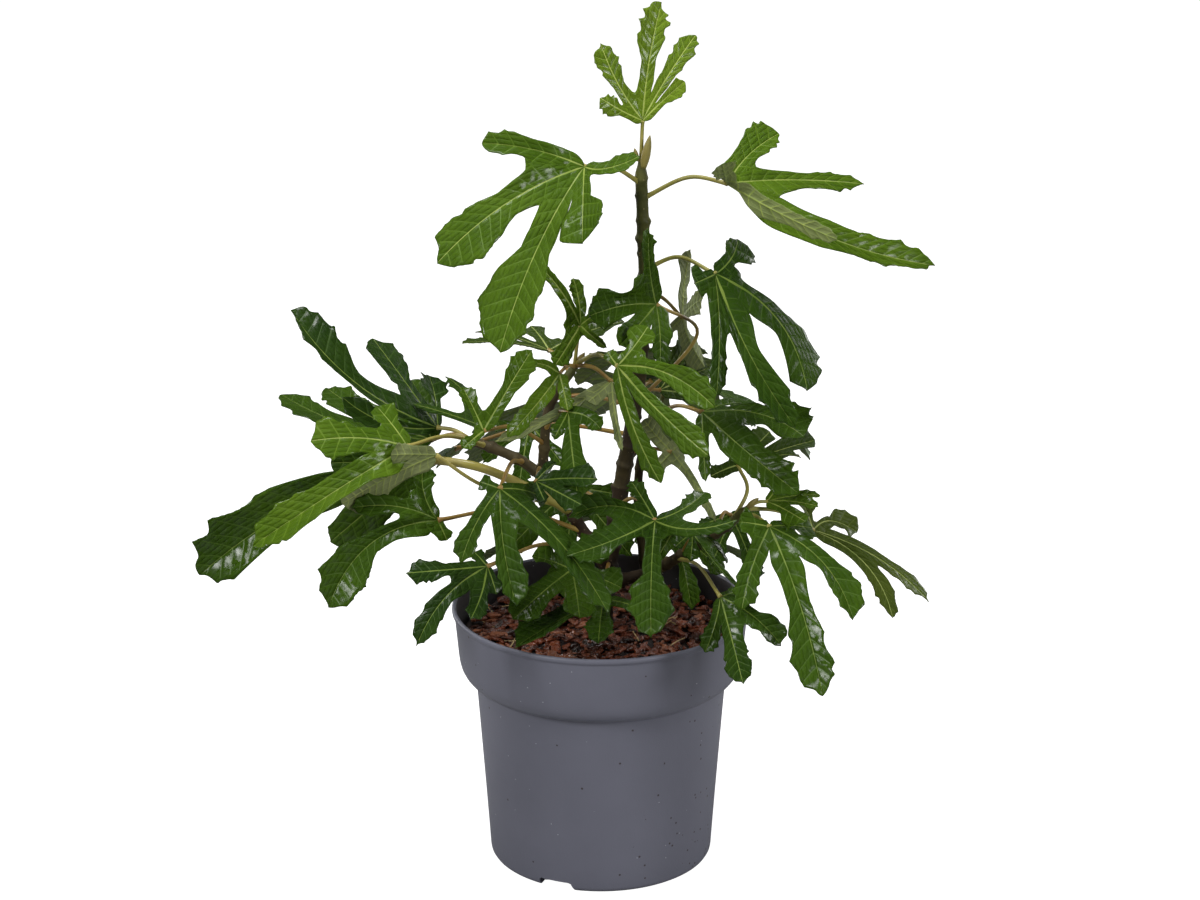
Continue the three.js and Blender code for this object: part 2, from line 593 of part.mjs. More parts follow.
// The upper sheet of a blade: its points with their normals, and its triangles.
function bladeSheet({ joint, face, lobes, bays }, grow) {
  const points = [{ point: joint, up: face }];
  const triangles = [];
  const add = (entry) => points.push(entry) - 1;
  const bayIndex = lobes.slice(1).map((next, i) => add(bayPoint(lobes[i], next, bays[i])));
  lobes.forEach((lobe, i) => {
    const stations = stationsOf(lobe);
    const ribs = stations.map(([share]) => add(bladePoint(lobe, share, 0)));
    const tip = add(bladePoint(lobe, 1 + grow / lobe.length, 0));
    [-1, 1].forEach((side) => {
      const bay = side < 0 ? bayIndex[i - 1] : bayIndex[i];
      const next = side < 0 ? lobes[i - 1] : lobes[i + 1];
      const edges = stations.map(([share, breadth]) => {
        let offset = lobe.half * breadth * (1 + (share > 0.6 ? side * lobe.skew : 0));
        if (next) {
          const room = share * lobe.length * Math.tan(lobe.along.angleTo(next.along) / 2);
          offset = Math.min(offset, Math.max(room - 1, 0.4 * room));
        }
        const fold = lobe.folds[side < 0 ? 0 : 1];
        return add(bladePoint(lobe, share, side * (offset + grow), fold));
      });
      const put = (a, b, c) => triangles.push(side > 0 ? [a, b, c] : [a, c, b]);
      if (bay === undefined) {
        put(0, ribs[0], edges[0]);
      } else {
        put(0, ribs[0], bay);
        put(ribs[0], edges[0], bay);
      }
      for (let k = 0; k + 1 < ribs.length; k += 1) {
        put(ribs[k], ribs[k + 1], edges[k + 1]);
        put(ribs[k], edges[k + 1], edges[k]);
      }
      put(ribs.at(-1), tip, edges.at(-1));
    });
  });
  return { points, triangles };
}

// A sheet thickened both ways from its middle, and closed along its open edges.
function thickened({ points, triangles }, thickness) {
  const count = points.length;
  const positions = [];
  [0.5, -0.5].forEach((half) => points.forEach(({ point, up }) => {
    const moved = point.clone().addScaledVector(up, half * thickness);
    positions.push(moved.x, moved.y, moved.z);
  }));
  const index = [];
  const open = new Map();
  triangles.forEach(([a, b, c]) => {
    index.push(a, b, c, c + count, b + count, a + count);
    [[a, b], [b, c], [c, a]].forEach(([from, to]) => {
      if (!open.delete(`${to}_${from}`)) open.set(`${from}_${to}`, [from, to]);
    });
  });
  open.forEach(([from, to]) => {
    index.push(from, from + count, to + count, from, to + count, to);
  });
  const geometry = new THREE.BufferGeometry();
  geometry.setAttribute('position', new THREE.Float32BufferAttribute(positions, 3));
  geometry.setIndex(index);
  return geometry;
}

function stalkCurve(leaf, joint) {
  const [limb, share] = leaf.on;
  const foot = LIMBS[limb].curve.getPointAt(share);
  const arch = foot.clone().lerp(joint, 0.5);
  arch.z += 0.1 * foot.distanceTo(joint);
  const middle = leaf.bend ? new THREE.Vector3(...leaf.bend) : arch;
  return new THREE.CatmullRomCurve3([foot, middle, joint]);
}

function leafSolid(leaf, grow = 0) {
  const shape = shapedLobes(leaf);
  const blade = solidOf(thickened(bladeSheet(shape, grow), BLADE_THICKNESS + 2 * grow));
  const radiusAt = (share) => STALK_RADIUS * (1.3 - 0.3 * share) + grow;
  const stalk = taperedTube(stalkCurve(leaf, shape.joint), radiusAt, STALK_RINGS, STALK_SIDES);
  return blade.add(solidOf(stalk));
}

// ---------------------------------------------------------------- the whole plant

const plant = new THREE.Group();

function place(name, solid, colour, roughness) {
  const material = new THREE.MeshStandardMaterial({ color: colour, roughness, metalness: 0 });
  const mesh = new THREE.Mesh(geometryOf(solid), material);
  mesh.name = name;
  plant.add(mesh);
}

const grown = [];               // every finished piece, grown by the clearance

function near(a, b) {
  const boxA = a.boundingBox();
  const boxB = b.boundingBox();
  return [0, 1, 2].every((i) => boxA.min[i] <= boxB.max[i] && boxB.min[i] <= boxA.max[i]);
}

function clearOfTheRest(solid) {
  const cut = grown.filter((other) => near(solid, other))
    .reduce((rest, other) => rest.subtract(other), solid);
  return largestPieceOf(cut.simplify(SMOOTHING));
}

place('pot', potSolid(), COLOURS.pot, 0.55);
place('compost', compostSolid(), COLOURS.compost, 1);

Object.values(LIMBS).forEach((limb) => {
  limb.curve = limbCurve(limb);
});
Object.entries(LIMBS).forEach(([name, limb]) => {
  place(name, clearOfTheRest(limbSolid(limb)), COLOURS.bark, 0.8);
  grown.push(limbSolid(limb, CLEARANCE));
});

place('bark_mulch', clearOfTheRest(mulchSolid()), COLOURS.mulch, 0.95);

Object.entries(LEAVES).forEach(([name, leaf]) => {
  place(`leaf_${name}`, clearOfTheRest(leafSolid(leaf)), COLOURS[leaf.tone], 0.45);
  grown.push(leafSolid(leaf, CLEARANCE));
});

export default plant;
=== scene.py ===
# %% [markdown]
# # A young fig tree in its nursery pot
# This lesson builds a potted fig round a fixed frame: a plain CAD model of the same tree, at its
# real size. Every piece made here takes the place of one or more of its plain solids. Lengths
# are written in millimetres, as a grower or a pot maker would give them, and `MM` turns them into
# Blender's metres at the last moment.

# %% Load the frame
import math

import bpy
import numpy as np
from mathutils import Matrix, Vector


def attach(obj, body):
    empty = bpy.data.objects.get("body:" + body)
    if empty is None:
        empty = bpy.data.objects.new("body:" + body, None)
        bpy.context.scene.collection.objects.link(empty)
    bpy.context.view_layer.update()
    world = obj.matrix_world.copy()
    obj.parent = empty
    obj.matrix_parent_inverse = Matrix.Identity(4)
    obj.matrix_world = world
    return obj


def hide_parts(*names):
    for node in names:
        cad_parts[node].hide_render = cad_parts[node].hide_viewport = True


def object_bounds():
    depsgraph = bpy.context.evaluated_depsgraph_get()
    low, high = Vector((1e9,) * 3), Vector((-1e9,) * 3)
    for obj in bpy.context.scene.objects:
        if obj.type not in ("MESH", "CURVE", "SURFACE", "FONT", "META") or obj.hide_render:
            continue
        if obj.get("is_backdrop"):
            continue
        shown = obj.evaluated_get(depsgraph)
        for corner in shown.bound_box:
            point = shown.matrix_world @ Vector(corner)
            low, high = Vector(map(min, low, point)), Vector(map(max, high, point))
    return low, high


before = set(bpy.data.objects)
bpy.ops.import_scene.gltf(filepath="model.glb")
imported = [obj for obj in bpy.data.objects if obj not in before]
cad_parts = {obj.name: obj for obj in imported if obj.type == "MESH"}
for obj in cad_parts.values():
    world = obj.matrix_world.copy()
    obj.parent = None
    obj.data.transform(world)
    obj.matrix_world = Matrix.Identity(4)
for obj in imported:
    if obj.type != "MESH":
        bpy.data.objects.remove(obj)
cad_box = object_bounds()
MM = 0.001
print("frame nodes:", len(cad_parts))

# %% [markdown]
# ## The camera
# The camera comes first, because every later choice of detail is judged through it. A plant like
# this is best seen from two metres away through a long lens, a little from above, so that the top
# of the mulch and the faces of the leaves both show. The lens is given by its focal length on a
# sensor 36 mm wide, and the pitch by one angle, as on a real camera.

# %% Camera
CAMERA_PLACE = (-0.65 * MM, -2000 * MM, 967 * MM)
LOOK_DOWN = math.radians(18.43)
FOCAL_LENGTH = 91.3
SENSOR_WIDTH = 36


def stand(name, data):
    """Puts mesh, light or camera data into the scene as an object."""
    thing = bpy.data.objects.new(name, data)
    bpy.context.scene.collection.objects.link(thing)
    return thing


camera_data = bpy.data.cameras.new("camera")
camera_data.sensor_fit = "HORIZONTAL"
camera_data.sensor_width = SENSOR_WIDTH
camera_data.lens = FOCAL_LENGTH
camera = stand("camera", camera_data)
camera.location = CAMERA_PLACE
camera.rotation_euler = (math.pi / 2 - LOOK_DOWN, 0, 0)
bpy.context.scene.camera = camera
print("camera looks down by", round(math.degrees(LOOK_DOWN), 2), "degrees")

# %% [markdown]
# ## Making meshes from arrays
# A fig leaf is a grid of a few thousand points, so the pieces are worked out as numpy arrays and
# handed to Blender in one go. `add_piece` does that for every piece: it makes the mesh, gives
# each face its material, tells the frame which body it rides on, and hides the CAD nodes it
# stands for.

# %% Mesh helper
TINY = 1e-12


def add_piece(name, points, faces, materials, slot, replaces=(), face_material=None, coords=None):
    """One mesh piece in millimetres. faces is an (n, 3) array of point numbers."""
    mesh = bpy.data.meshes.new(name)
    faces = np.asarray(faces, np.int32)
    count = len(faces)
    mesh.vertices.add(len(points))
    mesh.vertices.foreach_set("co", (np.asarray(points) * MM).astype(np.float32).ravel())
    mesh.loops.add(faces.size)
    mesh.loops.foreach_set("vertex_index", faces.ravel())
    mesh.polygons.add(count)
    mesh.polygons.foreach_set("loop_start", np.arange(count, dtype=np.int32) * 3)
    mesh.polygons.foreach_set("loop_total", np.full(count, 3, np.int32))
    mesh.polygons.foreach_set("use_smooth", np.ones(count, bool))
    if face_material is not None:
        mesh.polygons.foreach_set("material_index", np.asarray(face_material, np.int32))
    mesh.update(calc_edges=True)
    mesh.validate(clean_customdata=False)
    if coords is not None:
        layer = mesh.uv_layers.new(name="along_across")
        layer.data.foreach_set("uv", np.asarray(coords, np.float32)[faces.ravel()].ravel())
    for material in materials:
        mesh.materials.append(material)
    piece = stand(name, mesh)
    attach(piece, "root")
    if replaces:
        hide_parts(*replaces)
    print(f"{name}: {len(points)} points, {count} triangles")
    return piece


def joined(parts):
    """Joins (points, faces, *more) tuples into one, renumbering the faces."""
    starts = np.cumsum([0, *(len(part[0]) for part in parts)])
    points = np.concatenate([part[0] for part in parts])
    faces = np.concatenate([part[1] + start for part, start in zip(parts, starts)])
    return (points, faces, *(np.concatenate(more) for more in zip(*(part[2:] for part in parts))))


def unit(vectors):
    return vectors / np.maximum(np.linalg.norm(vectors, axis=-1, keepdims=True), TINY)


def ease(share):
    share = np.clip(share, 0, 1)
    return share * share * (3 - 2 * share)


print("ease turns 0.25, 0.5 and 0.75 into", *ease(np.array([0.25, 0.5, 0.75])))

# %% [markdown]
# Most round things here are rings of points, one above the other: stalks, limbs, the pot, and
# even a bark chip. `closed_rings` numbers the triangles for all of them, with walls between the
# rings and a fan of triangles round one more point at each end, so that no piece is left open.

# %% Rings
def round_turns(sides):
    return np.linspace(0, 2 * math.pi, sides, endpoint=False)


def closed_rings(rings, sides):
    """Triangles that skin rings of points, which are followed by a first and a last centre."""
    ring, side = np.meshgrid(np.arange(rings - 1), np.arange(sides), indexing="ij")
    a, b = ring * sides + side, ring * sides + (side + 1) % sides
    halves = ((a, b, b + sides), (a, b + sides, a + sides))
    loop = np.arange(sides)
    following, top = (loop + 1) % sides, (rings - 1) * sides
    first, last = np.full(sides, rings * sides), np.full(sides, rings * sides + 1)
    fans = ((first, following, loop), (last, top + loop, top + following))
    return np.concatenate([np.stack(three, -1).reshape(-1, 3) for three in (*halves, *fans)])


print("triangles of a closed tube of 3 rings with 6 sides:", len(closed_rings(3, 6)))

# %% [markdown]
# ## Shader helpers
# Materials are node trees. `Finish` is a short way to write one: it starts a material with a
# Principled shader, adds nodes and links them. Effects that several finishes share are node
# groups, built once with named inputs and outputs and placed with values of their own.

# %% Finish helper
class Finish:
    """A material, or a shared group, being wired up."""

    def __init__(self, tree):
        self.tree = tree

    @classmethod
    def material(cls, name, **shader_values):
        material = bpy.data.materials.new(name)
        material.use_nodes = True
        finish = cls(material.node_tree)
        finish.made = material
        finish.shader = material.node_tree.nodes["Principled BSDF"].inputs
        for socket, value in shader_values.items():
            finish.put(value, finish.shader[socket.replace("_", " ")])
        return finish

    @classmethod
    def group(cls, name, inputs, outputs):
        """A node group. inputs maps its sockets to their first values, outputs names the rest."""
        tree = bpy.data.node_groups.new(name, "ShaderNodeTree")
        for title in (*inputs, *outputs):
            way = "INPUT" if title in inputs else "OUTPUT"
            socket = tree.interface.new_socket(title, in_out=way, socket_type="NodeSocketFloat")
            socket.default_value = inputs.get(title, 0.0)
        finish = cls(tree)
        finish.made = tree
        finish.entry = tree.nodes.new("NodeGroupInput").outputs
        finish.exit = tree.nodes.new("NodeGroupOutput").inputs
        return finish

    def put(self, value, socket):
        """Feeds a socket from another, or sets its value. Colours are written without alpha."""
        if isinstance(value, bpy.types.NodeSocket):
            self.tree.links.new(value, socket)
        else:
            socket.default_value = (*value, 1.0) if socket.type == "RGBA" else value

    def add(self, kind, links=None, **settings):
        """Adds a node. links maps input names (or numbers) to sockets or values."""
        node = self.tree.nodes.new(kind)
        for key, value in settings.items():
            setattr(node, key, value)
        for key, value in (links or {}).items():
            self.put(value, node.inputs[key])
        return node

    def place(self, group, **values):
        """Places a shared group with values of its own, and gives its outputs."""
        links = {key.replace("_", " "): value for key, value in values.items()}
        return self.add("ShaderNodeGroup", links, node_tree=group).outputs

    def mottle(self, scale, detail):
        return self.place(MOTTLE, Scale=scale, Detail=detail)["Mask"]

    def specks(self, scale, size, share):
        return self.place(SPECKS, Scale=scale, Size=size, Share=share)["Mask"]

    def math(self, operation, first, second=0.5, third=0.5):
        links = {0: first, 1: second, 2: third}
        return self.add("ShaderNodeMath", links, operation=operation).outputs[0]

    def mix(self, share, first, second):
        """The first colour where share is 0, the second where it is 1."""
        links = {"Factor": share, 6: first, 7: second}
        return self.add("ShaderNodeMix", links, data_type="RGBA").outputs[2]

    def over(self, mask, strength, under, coat):
        """Lays a coat over a colour where the mask says, at a given strength."""
        return self.mix(self.math("MULTIPLY", mask, strength), under, coat)

    def ramp(self, value, low, high, to_low=0.0, to_high=1.0):
        links = {"Value": value, "From Min": low, "From Max": high,
                 "To Min": to_low, "To Max": to_high}
        return self.add("ShaderNodeMapRange", links).outputs["Result"]

    def patches(self, scale, detail, dark, light):
        """The mask of some soft patches, and the colour that runs from dark to light with it."""
        patch = self.mottle(scale, detail)
        return patch, self.mix(patch, dark, light)

    def paint(self, base, patch, roughness, height, strength, distance):
        """Links colour, roughness and bump. roughness is its two ends, and patch runs between."""
        self.put(base, self.shader["Base Color"])
        self.put(self.ramp(patch, 0, 1, *roughness), self.shader["Roughness"])
        links = {"Height": height, "Strength": strength, "Distance": distance}
        self.put(self.add("ShaderNodeBump", links).outputs["Normal"], self.shader["Normal"])
        return self.made


print("the finish helper can:", ", ".join(key for key in vars(Finish) if key[0] != "_"))

# %% [markdown]
# ### Shared effects
# `mottle` gives soft uneven patches, which stop any surface from looking like flat paint.
# `specks` gives sparse small dots: dust, soil splashes and the pores of bark.

# %% Shared effects
def make_mottle():
    g = Finish.group("mottle", {"Scale": 40.0, "Detail": 4.0}, ["Mask"])
    place = g.add("ShaderNodeTexCoord").outputs["Object"]
    links = {"Vector": place, "Scale": g.entry["Scale"], "Detail": g.entry["Detail"]}
    noise = g.add("ShaderNodeTexNoise", links).outputs[0]
    g.put(g.ramp(noise, 0.32, 0.68), g.exit["Mask"])
    return g.made


def make_specks():
    g = Finish.group("specks", {"Scale": 200.0, "Size": 0.1, "Share": 0.3}, ["Mask"])
    place = g.add("ShaderNodeTexCoord").outputs["Object"]
    cells = g.add("ShaderNodeTexVoronoi", {"Vector": place, "Scale": g.entry["Scale"]}).outputs
    dots = g.math("LESS_THAN", cells["Distance"], g.entry["Size"])
    luck = g.add("ShaderNodeSeparateColor", {"Color": cells["Color"]}).outputs[0]
    chosen = g.math("LESS_THAN", luck, g.entry["Share"])
    g.put(g.math("MULTIPLY", dots, chosen), g.exit["Mask"])
    return g.made


MOTTLE = make_mottle()
SPECKS = make_specks()
print("shared effects:", MOTTLE.name, SPECKS.name)

# %% [markdown]
# ## Where the limbs run
# The tree has a leader, a thin second stem and four boughs. Each is a short list of places along
# its middle, joined by one smooth curve, and the radius at either end. The leaf stalks start on
# the same curves, so a leaf can never come loose from its limb.

# %% Limb routes
SOIL = 157.3

LIMBS = {
    "leader": {
        "route": [[0, 2, SOIL], [5, 5, 210], [15, 8, 276], [25, 11, 340], [30, 12, 412],
                  [28, 9, 470], [27, 8, 503]],
        "radii": (6.2, 3.9), "flare": 3,
    },
    "left_bough": {
        "route": [[5, 5, 210], [-10, -3, 238], [-32, -11, 275], [-55, -13, 297], [-93, -9, 312]],
        "radii": (4.6, 3.2), "flare": 0,
    },
    "upright_shoot": {
        "route": [[-40, -12, 284], [-39, -16, 310], [-34, -15, 340], [-16, -12, 367]],
        "radii": (3.6, 3.0), "flare": 0,
    },
    "right_bough": {
        "route": [[4, 4, 200], [34, -5, 212], [62, -30, 238], [86, -48, 262], [101, -55, 279]],
        "radii": (4.4, 2.8), "flare": 0,
    },
    "second_stem": {
        "route": [[36, 22, SOIL], [31, 25, 205], [26, 25, 262], [31, 27, 300], [44, 34, 330]],
        "radii": (4.0, 2.4), "flare": 2,
    },
    "back_bough": {
        "route": [[12, 7, 252], [15, 34, 268], [24, 62, 290], [25, 84, 312]],
        "radii": (4.0, 2.8), "flare": 0,
    },
}
print("limbs:", ", ".join(LIMBS))

# %% [markdown]
# A Catmull-Rom curve passes through every place it is given, with no handles to set. The
# centripetal kind is used here, which makes no loops where two places lie close together.

# %% Smooth paths
LIMB_STEPS = 200
STEPS_BETWEEN_KNOTS = 60


def run_along(points, power=1):
    """How far along a path every point is, with each step raised to a power."""
    steps = np.linalg.norm(np.diff(points, axis=0), axis=1) ** power
    return np.concatenate([[0], np.cumsum(steps)])


def between(t, low, high, start, end):
    """start where t is low, end where it is high, and a straight run in between."""
    return (high - t) / (high - low) * start + (t - low) / (high - low) * end


def smooth_path(route, count):
    """count evenly spaced points along a centripetal Catmull-Rom curve through the route."""
    p = np.array(route, float)
    p = np.vstack([2 * p[0] - p[1], p, 2 * p[-1] - p[-2]])
    knots = run_along(p, 0.5)
    dense = []
    for i in range(1, len(p) - 2):
        k, q = knots[i - 1:i + 3], p[i - 1:i + 3]
        t = np.linspace(k[1], k[2], STEPS_BETWEEN_KNOTS, endpoint=False)[:, None]
        a = [between(t, k[j], k[j + 1], q[j], q[j + 1]) for j in range(3)]
        b = [between(t, k[j], k[j + 2], a[j], a[j + 1]) for j in range(2)]
        dense.append(between(t, k[1], k[2], *b))
    dense = np.vstack([*dense, p[-2]])
    run = run_along(dense)
    wanted = np.linspace(0, run[-1], count)
    return np.stack([np.interp(wanted, run, dense[:, axis]) for axis in range(3)], axis=1)


for limb in LIMBS.values():
    limb["path"] = smooth_path(limb["route"], LIMB_STEPS + 1)
print("height of the leader:", round(LIMBS["leader"]["path"][-1][2] - SOIL), "mm")

# %% [markdown]
# ## The list of leaves
# A fig leaf is a hand: three to six lobes that spread from one joint. Each leaf here is written as
# a grower would describe it: the joint's place, the limb its stalk grows from and how far along,
# its tone, and for every lobe its heading, its rise above level and its length, then how far it
# sweeps aside, how broad it is and how it leans. The order of the lobes turns left when seen from
# the glossy upper side, so the order alone says which way the leaf faces.

# %% Leaf writing
LEAVES = {}
HAND_SPREAD = [(-84, 0.5), (-42, 0.82), (0, 1), (42, 0.8), (84, 0.48)]
HAND_DROOP = 0.1


def direction(heading, rise):
    h, r = math.radians(heading), math.radians(rise)
    return np.array([math.cos(h) * math.cos(r), math.sin(h) * math.cos(r), math.sin(r)])


def turned(vector, axis, degrees):
    a = math.radians(degrees)
    return (vector * math.cos(a) + np.cross(axis, vector) * math.sin(a)
            + axis * np.dot(axis, vector) * (1 - math.cos(a)))


def lobe(heading, rise, length, sweep=0, breadth=1, skew=0):
    return direction(heading, rise), length, sweep, breadth, skew


def leaf(name, joint, on, tone, lobes, **habit):
    """One leaf. habit holds what is unusual about it, such as the depth of its bays."""
    LEAVES[name] = dict(joint=joint, on=on, tone=tone, lobes=[lobe(*l) for l in lobes], **habit)


def hand(name, joint, on, heading, dip, roll, reach):
    """An even deep-green leaf of five lobes, whose outer lobes droop."""
    along = direction(heading, dip)
    level = unit(np.cross([0, 0, 1], along))
    up = turned(np.cross(along, level), along, roll)
    widest = HAND_SPREAD[-1][0]
    lobes = []
    for angle, share in HAND_SPREAD:
        drooped = unit(turned(along, up, angle) - up * HAND_DROOP * abs(angle) / widest)
        lobes.append((drooped, reach * share, 0, 1, 0))
    LEAVES[name] = dict(joint=joint, on=on, tone="deep", lobes=lobes)


print("lobes of a hand:", len(HAND_SPREAD))

# %% [markdown]
# The large leaves that make the outline come first, roughly from the top down, and the smaller
# ones that fill the heart of the crown come after them. A leaf's place in the list picks its tint
# and the seed of its random draws.

# %% Leaf list
leaf("crown", [28, 8, 531], ("leader", 1), "young",
     [[-6, 44, 39, 0, 1.1], [19, 56, 67, 0.03, 0.72], [59, 72, 80, 0.06, 1, 0.22],
      [172, 61, 59, 0.12, 0.85], [-156, 30, 36, 0.07, 0.95]],
     arch=0.05, waist=0.45, bays=[15, 20, 20, 19])
leaf("upper_left", [-11, -25, 507], ("leader", 0.955), "bright",
     [[-176, 14, 70, -0.06, 0.75], [-150, -25, 122, -0.1, 0.92, 0.12],
      [-123, -46, 144, -0.04, 0.97, -0.08], [-91, -32, 70, 0.05, 1.4, -0.1],
      [-35, 16, 46, -0.31, 0.88]],
     waist=0.52, teeth=0.7, bays=[42, 44, 33, 16])
leaf("upper_right", [85, -10, 492], ("leader", 0.925), "bright",
     [[-98, 30, 45, 0, 0.73], [-39, -15, 93, 0, 0.34], [0, -22, 152, -0.21, 0.5, 0.2],
      [25, -6, 106, 0.11, 0.36], [53, 21, 65, 0.13, 0.81, 0.2]],
     arch=-0.04, bend=[60, -4, 495], waist=0.55, bays=[12, 30, 38, 30],
     folds={(0, -1): -60, (0, 1): 60, (1, -1): 70, (1, 1): -70,
            (2, -1): -35, (2, 1): 50, (3, -1): -20, (3, 1): 20})
leaf("right_shoulder", [77, -20, 432], ("leader", 0.78), "deep",
     [[-134, -7, 21, 0, 1.7], [-90, -63, 83, 0.01, 0.48], [-45, -51, 118, -0.13, 0.86],
      [-23, -48, 100, 0.28, 1.2], [61, 27, 37, -0.16, 1.29, -0.3]],
     bend=[52, 2, 438], waist=0.62, bays=[18, 44, 36, 20])
leaf("centre_dark", [37, -35, 415], ("leader", 0.5), "deep",
     [[137, 82, 52, 0.15, 0.95, 0.3], [-150, -1, 52, -0.11, 1.98], [-126, -24, 46, 0, 1.6],
      [-85, -55, 43, 0, 1.3]],
     bend=[66, 0, 385], waist=1.6, bays=[30, 22, 18])
leaf("left_high", [-113, 0, 317], ("left_bough", 0.97), "deep",
     [[100, 27, 52], [143, 43, 79, 0.11, 1.08], [174, 39, 129, 0.31, 0.62, -0.5],
      [-171, 21, 70, 0.3, 0.7]],
     waist=0.34, bays=[16, 34, 10])
leaf("left_bright", [-130, -60, 323], ("left_bough", 0.9), "bright",
     [[145, 42, 35, 0, 1.03], [-162, 9, 67, -0.09, 1.12], [-151, -24, 125, -0.02, 0.86]],
     waist=0.62, bays=[24, 30], folds={(2, 1): 60, (2, -1): 0, (1, 1): 10, (1, -1): -5})
leaf("far_left", [-120, -35, 306], ("left_bough", 0.4), "deep",
     [[-175, -1, 64, 0, 0.95], [-168, -25, 172, -0.14, 1.05], [-165, -39, 86, 0, 1.25]],
     bend=[-82, -45, 303], waist=0.9, bays=[30, 60], stalk_size=2.2)
leaf("left_low", [-110, -70, 274], ("left_bough", 0.25), "deep",
     [[116, 56, 40, 0.28, 1.12], [-166, 13, 60, -0.16, 0.79], [-147, -28, 96, -0.33, 1.19],
      [-39, -58, 15, 0, 1.1]],
     tint=1, waist=0.6, bays=[26, 27, 12])
leaf("front_centre", [36, -90, 281], ("leader", 0.29), "deep",
     [[129, 40, 33, 0, 0.97], [180, 2, 58, -0.29, 1.07], [-149, -10, 70, 0.12, 1.1],
      [-93, -45, 85, -0.02, 1.4], [-25, 9, 60, -0.3, 0.61], [17, 25, 39, -0.28, 1.25]],
     waist=0.6, teeth=1.5, bays=[18, 31, 17, 18, 20])
leaf("front_right", [113, -80, 273], ("right_bough", 0.93), "deep",
     [[174, 7, 21, 0, 1.26], [-119, -49, 61, -0.07, 0.76], [-68, -46, 124, 0.05, 0.78, -0.1],
      [-43, -33, 87, 0.22, 0.81, 0.1], [33, -13, 37, 0, 1.23]],
     waist=0.5, bays=[16, 19, 31, 18])
leaf("centre_bright", [11, -75, 384], ("upright_shoot", 1), "bright",
     [[-55, -54, 84, -0.05, 0.65], [-48, -25, 96, -0.01, 0.74], [-39, -9, 82, 0.2, 0.92],
      [15, 51, 33, -0.1, 1.29], [143, 45, 12]],
     waist=0.5, bays=[17, 14, 22, 8])
leaf("front_left", [-67, -95, 305], ("left_bough", 0.72), "deep",
     [[159, 12, 15, 0, 1.1], [-129, -46, 57, -0.09, 0.76], [-78, -47, 84, -0.08, 0.81, 0.15],
      [-32, -40, 110, 0.08, 0.66], [26, -21, 37, 0.11, 1.05]],
     waist=0.52, bays=[9, 23, 30, 26])
leaf("right_middle", [69, -25, 336], ("second_stem", 0.9), "deep",
     [[-87, -48, 52, 0, 0.45], [-43, -24, 95, -0.05, 1.01], [-27, -5, 76, 0.21, 1.64],
      [50, -6, 45, 0, 0.6]],
     waist=0.85, bays=[20, 36, 18])
leaf("low_left", [-76, -100, 252], ("left_bough", 0.08), "deep",
     [[151, 40, 13, 0, 1.2], [-159, 3, 57, 0.04, 0.98], [-132, -29, 77, -0.18, 0.76],
      [-109, -40, 41, 0.08, 1.05], [-58, -53, 20, 0, 1.2]],
     waist=0.58, bays=[9, 28, 24, 12])
leaf("low_right", [80, -100, 230], ("right_bough", 0.45), "deep",
     [[-118, -54, 39, 0.1, 1.02], [-71, -47, 63, 0, 1.05], [-32, -28, 53, 0.09, 1.38],
      [51, -6, 20]],
     waist=0.62, bays=[20, 28, 12])
leaf("far_right", [146, -30, 252], ("right_bough", 0.98), "olive",
     [[-41, -34, 83, 0.26, 0.6], [-21, -26, 93, 0.12, 0.62], [32, -13, 39, 0.45, 1.6],
      [104, 21, 33, 0, 1.1]],
     waist=0.5, bays=[50, 14, 10])
leaf("right_small", [113, -52, 281], ("right_bough", 1), "bright",
     [[-48, -8, 37, 0, 1.9], [-34, 6, 40, 0, 1.3], [-3, 8, 36], [57, 15, 29, 0, 1.7]],
     waist=0.75)
leaf("low_inner_right", [62, -62, 262], ("right_bough", 0.5), "deep",
     [[-129, -14, 20, 0, 1.6], [-95, -24, 27, 0, 1.2], [-50, -30, 53, -0.25, 0.5],
      [11, -44, 34, 0.45, 0.9]],
     waist=0.6, bays=[8, 12, 20])
leaf("right_behind", [94, -20, 296], ("right_bough", 0.86), "olive",
     [[34, -2, 51, 0, 1.41], [44, 0, 79, 0, 0.83], [52, 21, 41, 0, 1.2], [-152, -12, 22]],
     bend=[100, -36, 284], waist=0.85)
leaf("heart_tall", [-14, -20, 396], ("upright_shoot", 0.96), "bright",
     [[-55, -15, 32, 0, 0.5], [-20, 38, 19, 0, 1.6], [108, 62, 33, -0.11, 0.88],
      [172, 54, 57, -0.09, 0.49], [-141, -48, 33, 0, 1.15]],
     waist=0.8)
leaf("heart_behind", [-36, 25, 365], ("upright_shoot", 0.9), "olive",
     [[3, 21, 56, 0, 1.4], [109, 8, 43], [154, 6, 58], [-166, 9, 62]])
leaf("heart_glossy", [-28, -40, 368], ("upright_shoot", 0.97), "bright",
     [[-143, 20, 35, -0.19, 0.5], [-127, -28, 64, 0.04, 0.75], [-79, -28, 35, 0, 0.75]],
     waist=0.7, bays=[9, 9])
leaf("heart_left", [-78, -75, 339], ("upright_shoot", 0.3), "bright",
     [[32, 53, 63], [134, 51, 33], [-133, -20, 22]])
leaf("heart_underside", [7, -45, 364], ("upright_shoot", 0.98), "olive",
     [[-64, -69, 47, 0, 0.35], [-136, -24, 24, 0, 0.9], [-168, -25, 88, -0.01, 0.5]],
     waist=0.8)
leaf("centre_hanging", [-22, -66, 349], ("upright_shoot", 0.42), "deep",
     [[-122, -39, 23, 0, 0.7], [-80, -50, 63, 0, 1.25], [-35, -15, 28, 0.23, 1.1]],
     waist=0.8)
leaf("centre_glossy", [-43, -88, 308], ("left_bough", 0.6), "deep",
     [[-68, -29, 18, 0, 1.2], [-45, -8, 43, 0, 1.35], [-32, 12, 49, 0, 1.3],
      [20, 40, 18, 0, 1.5]],
     waist=0.85)
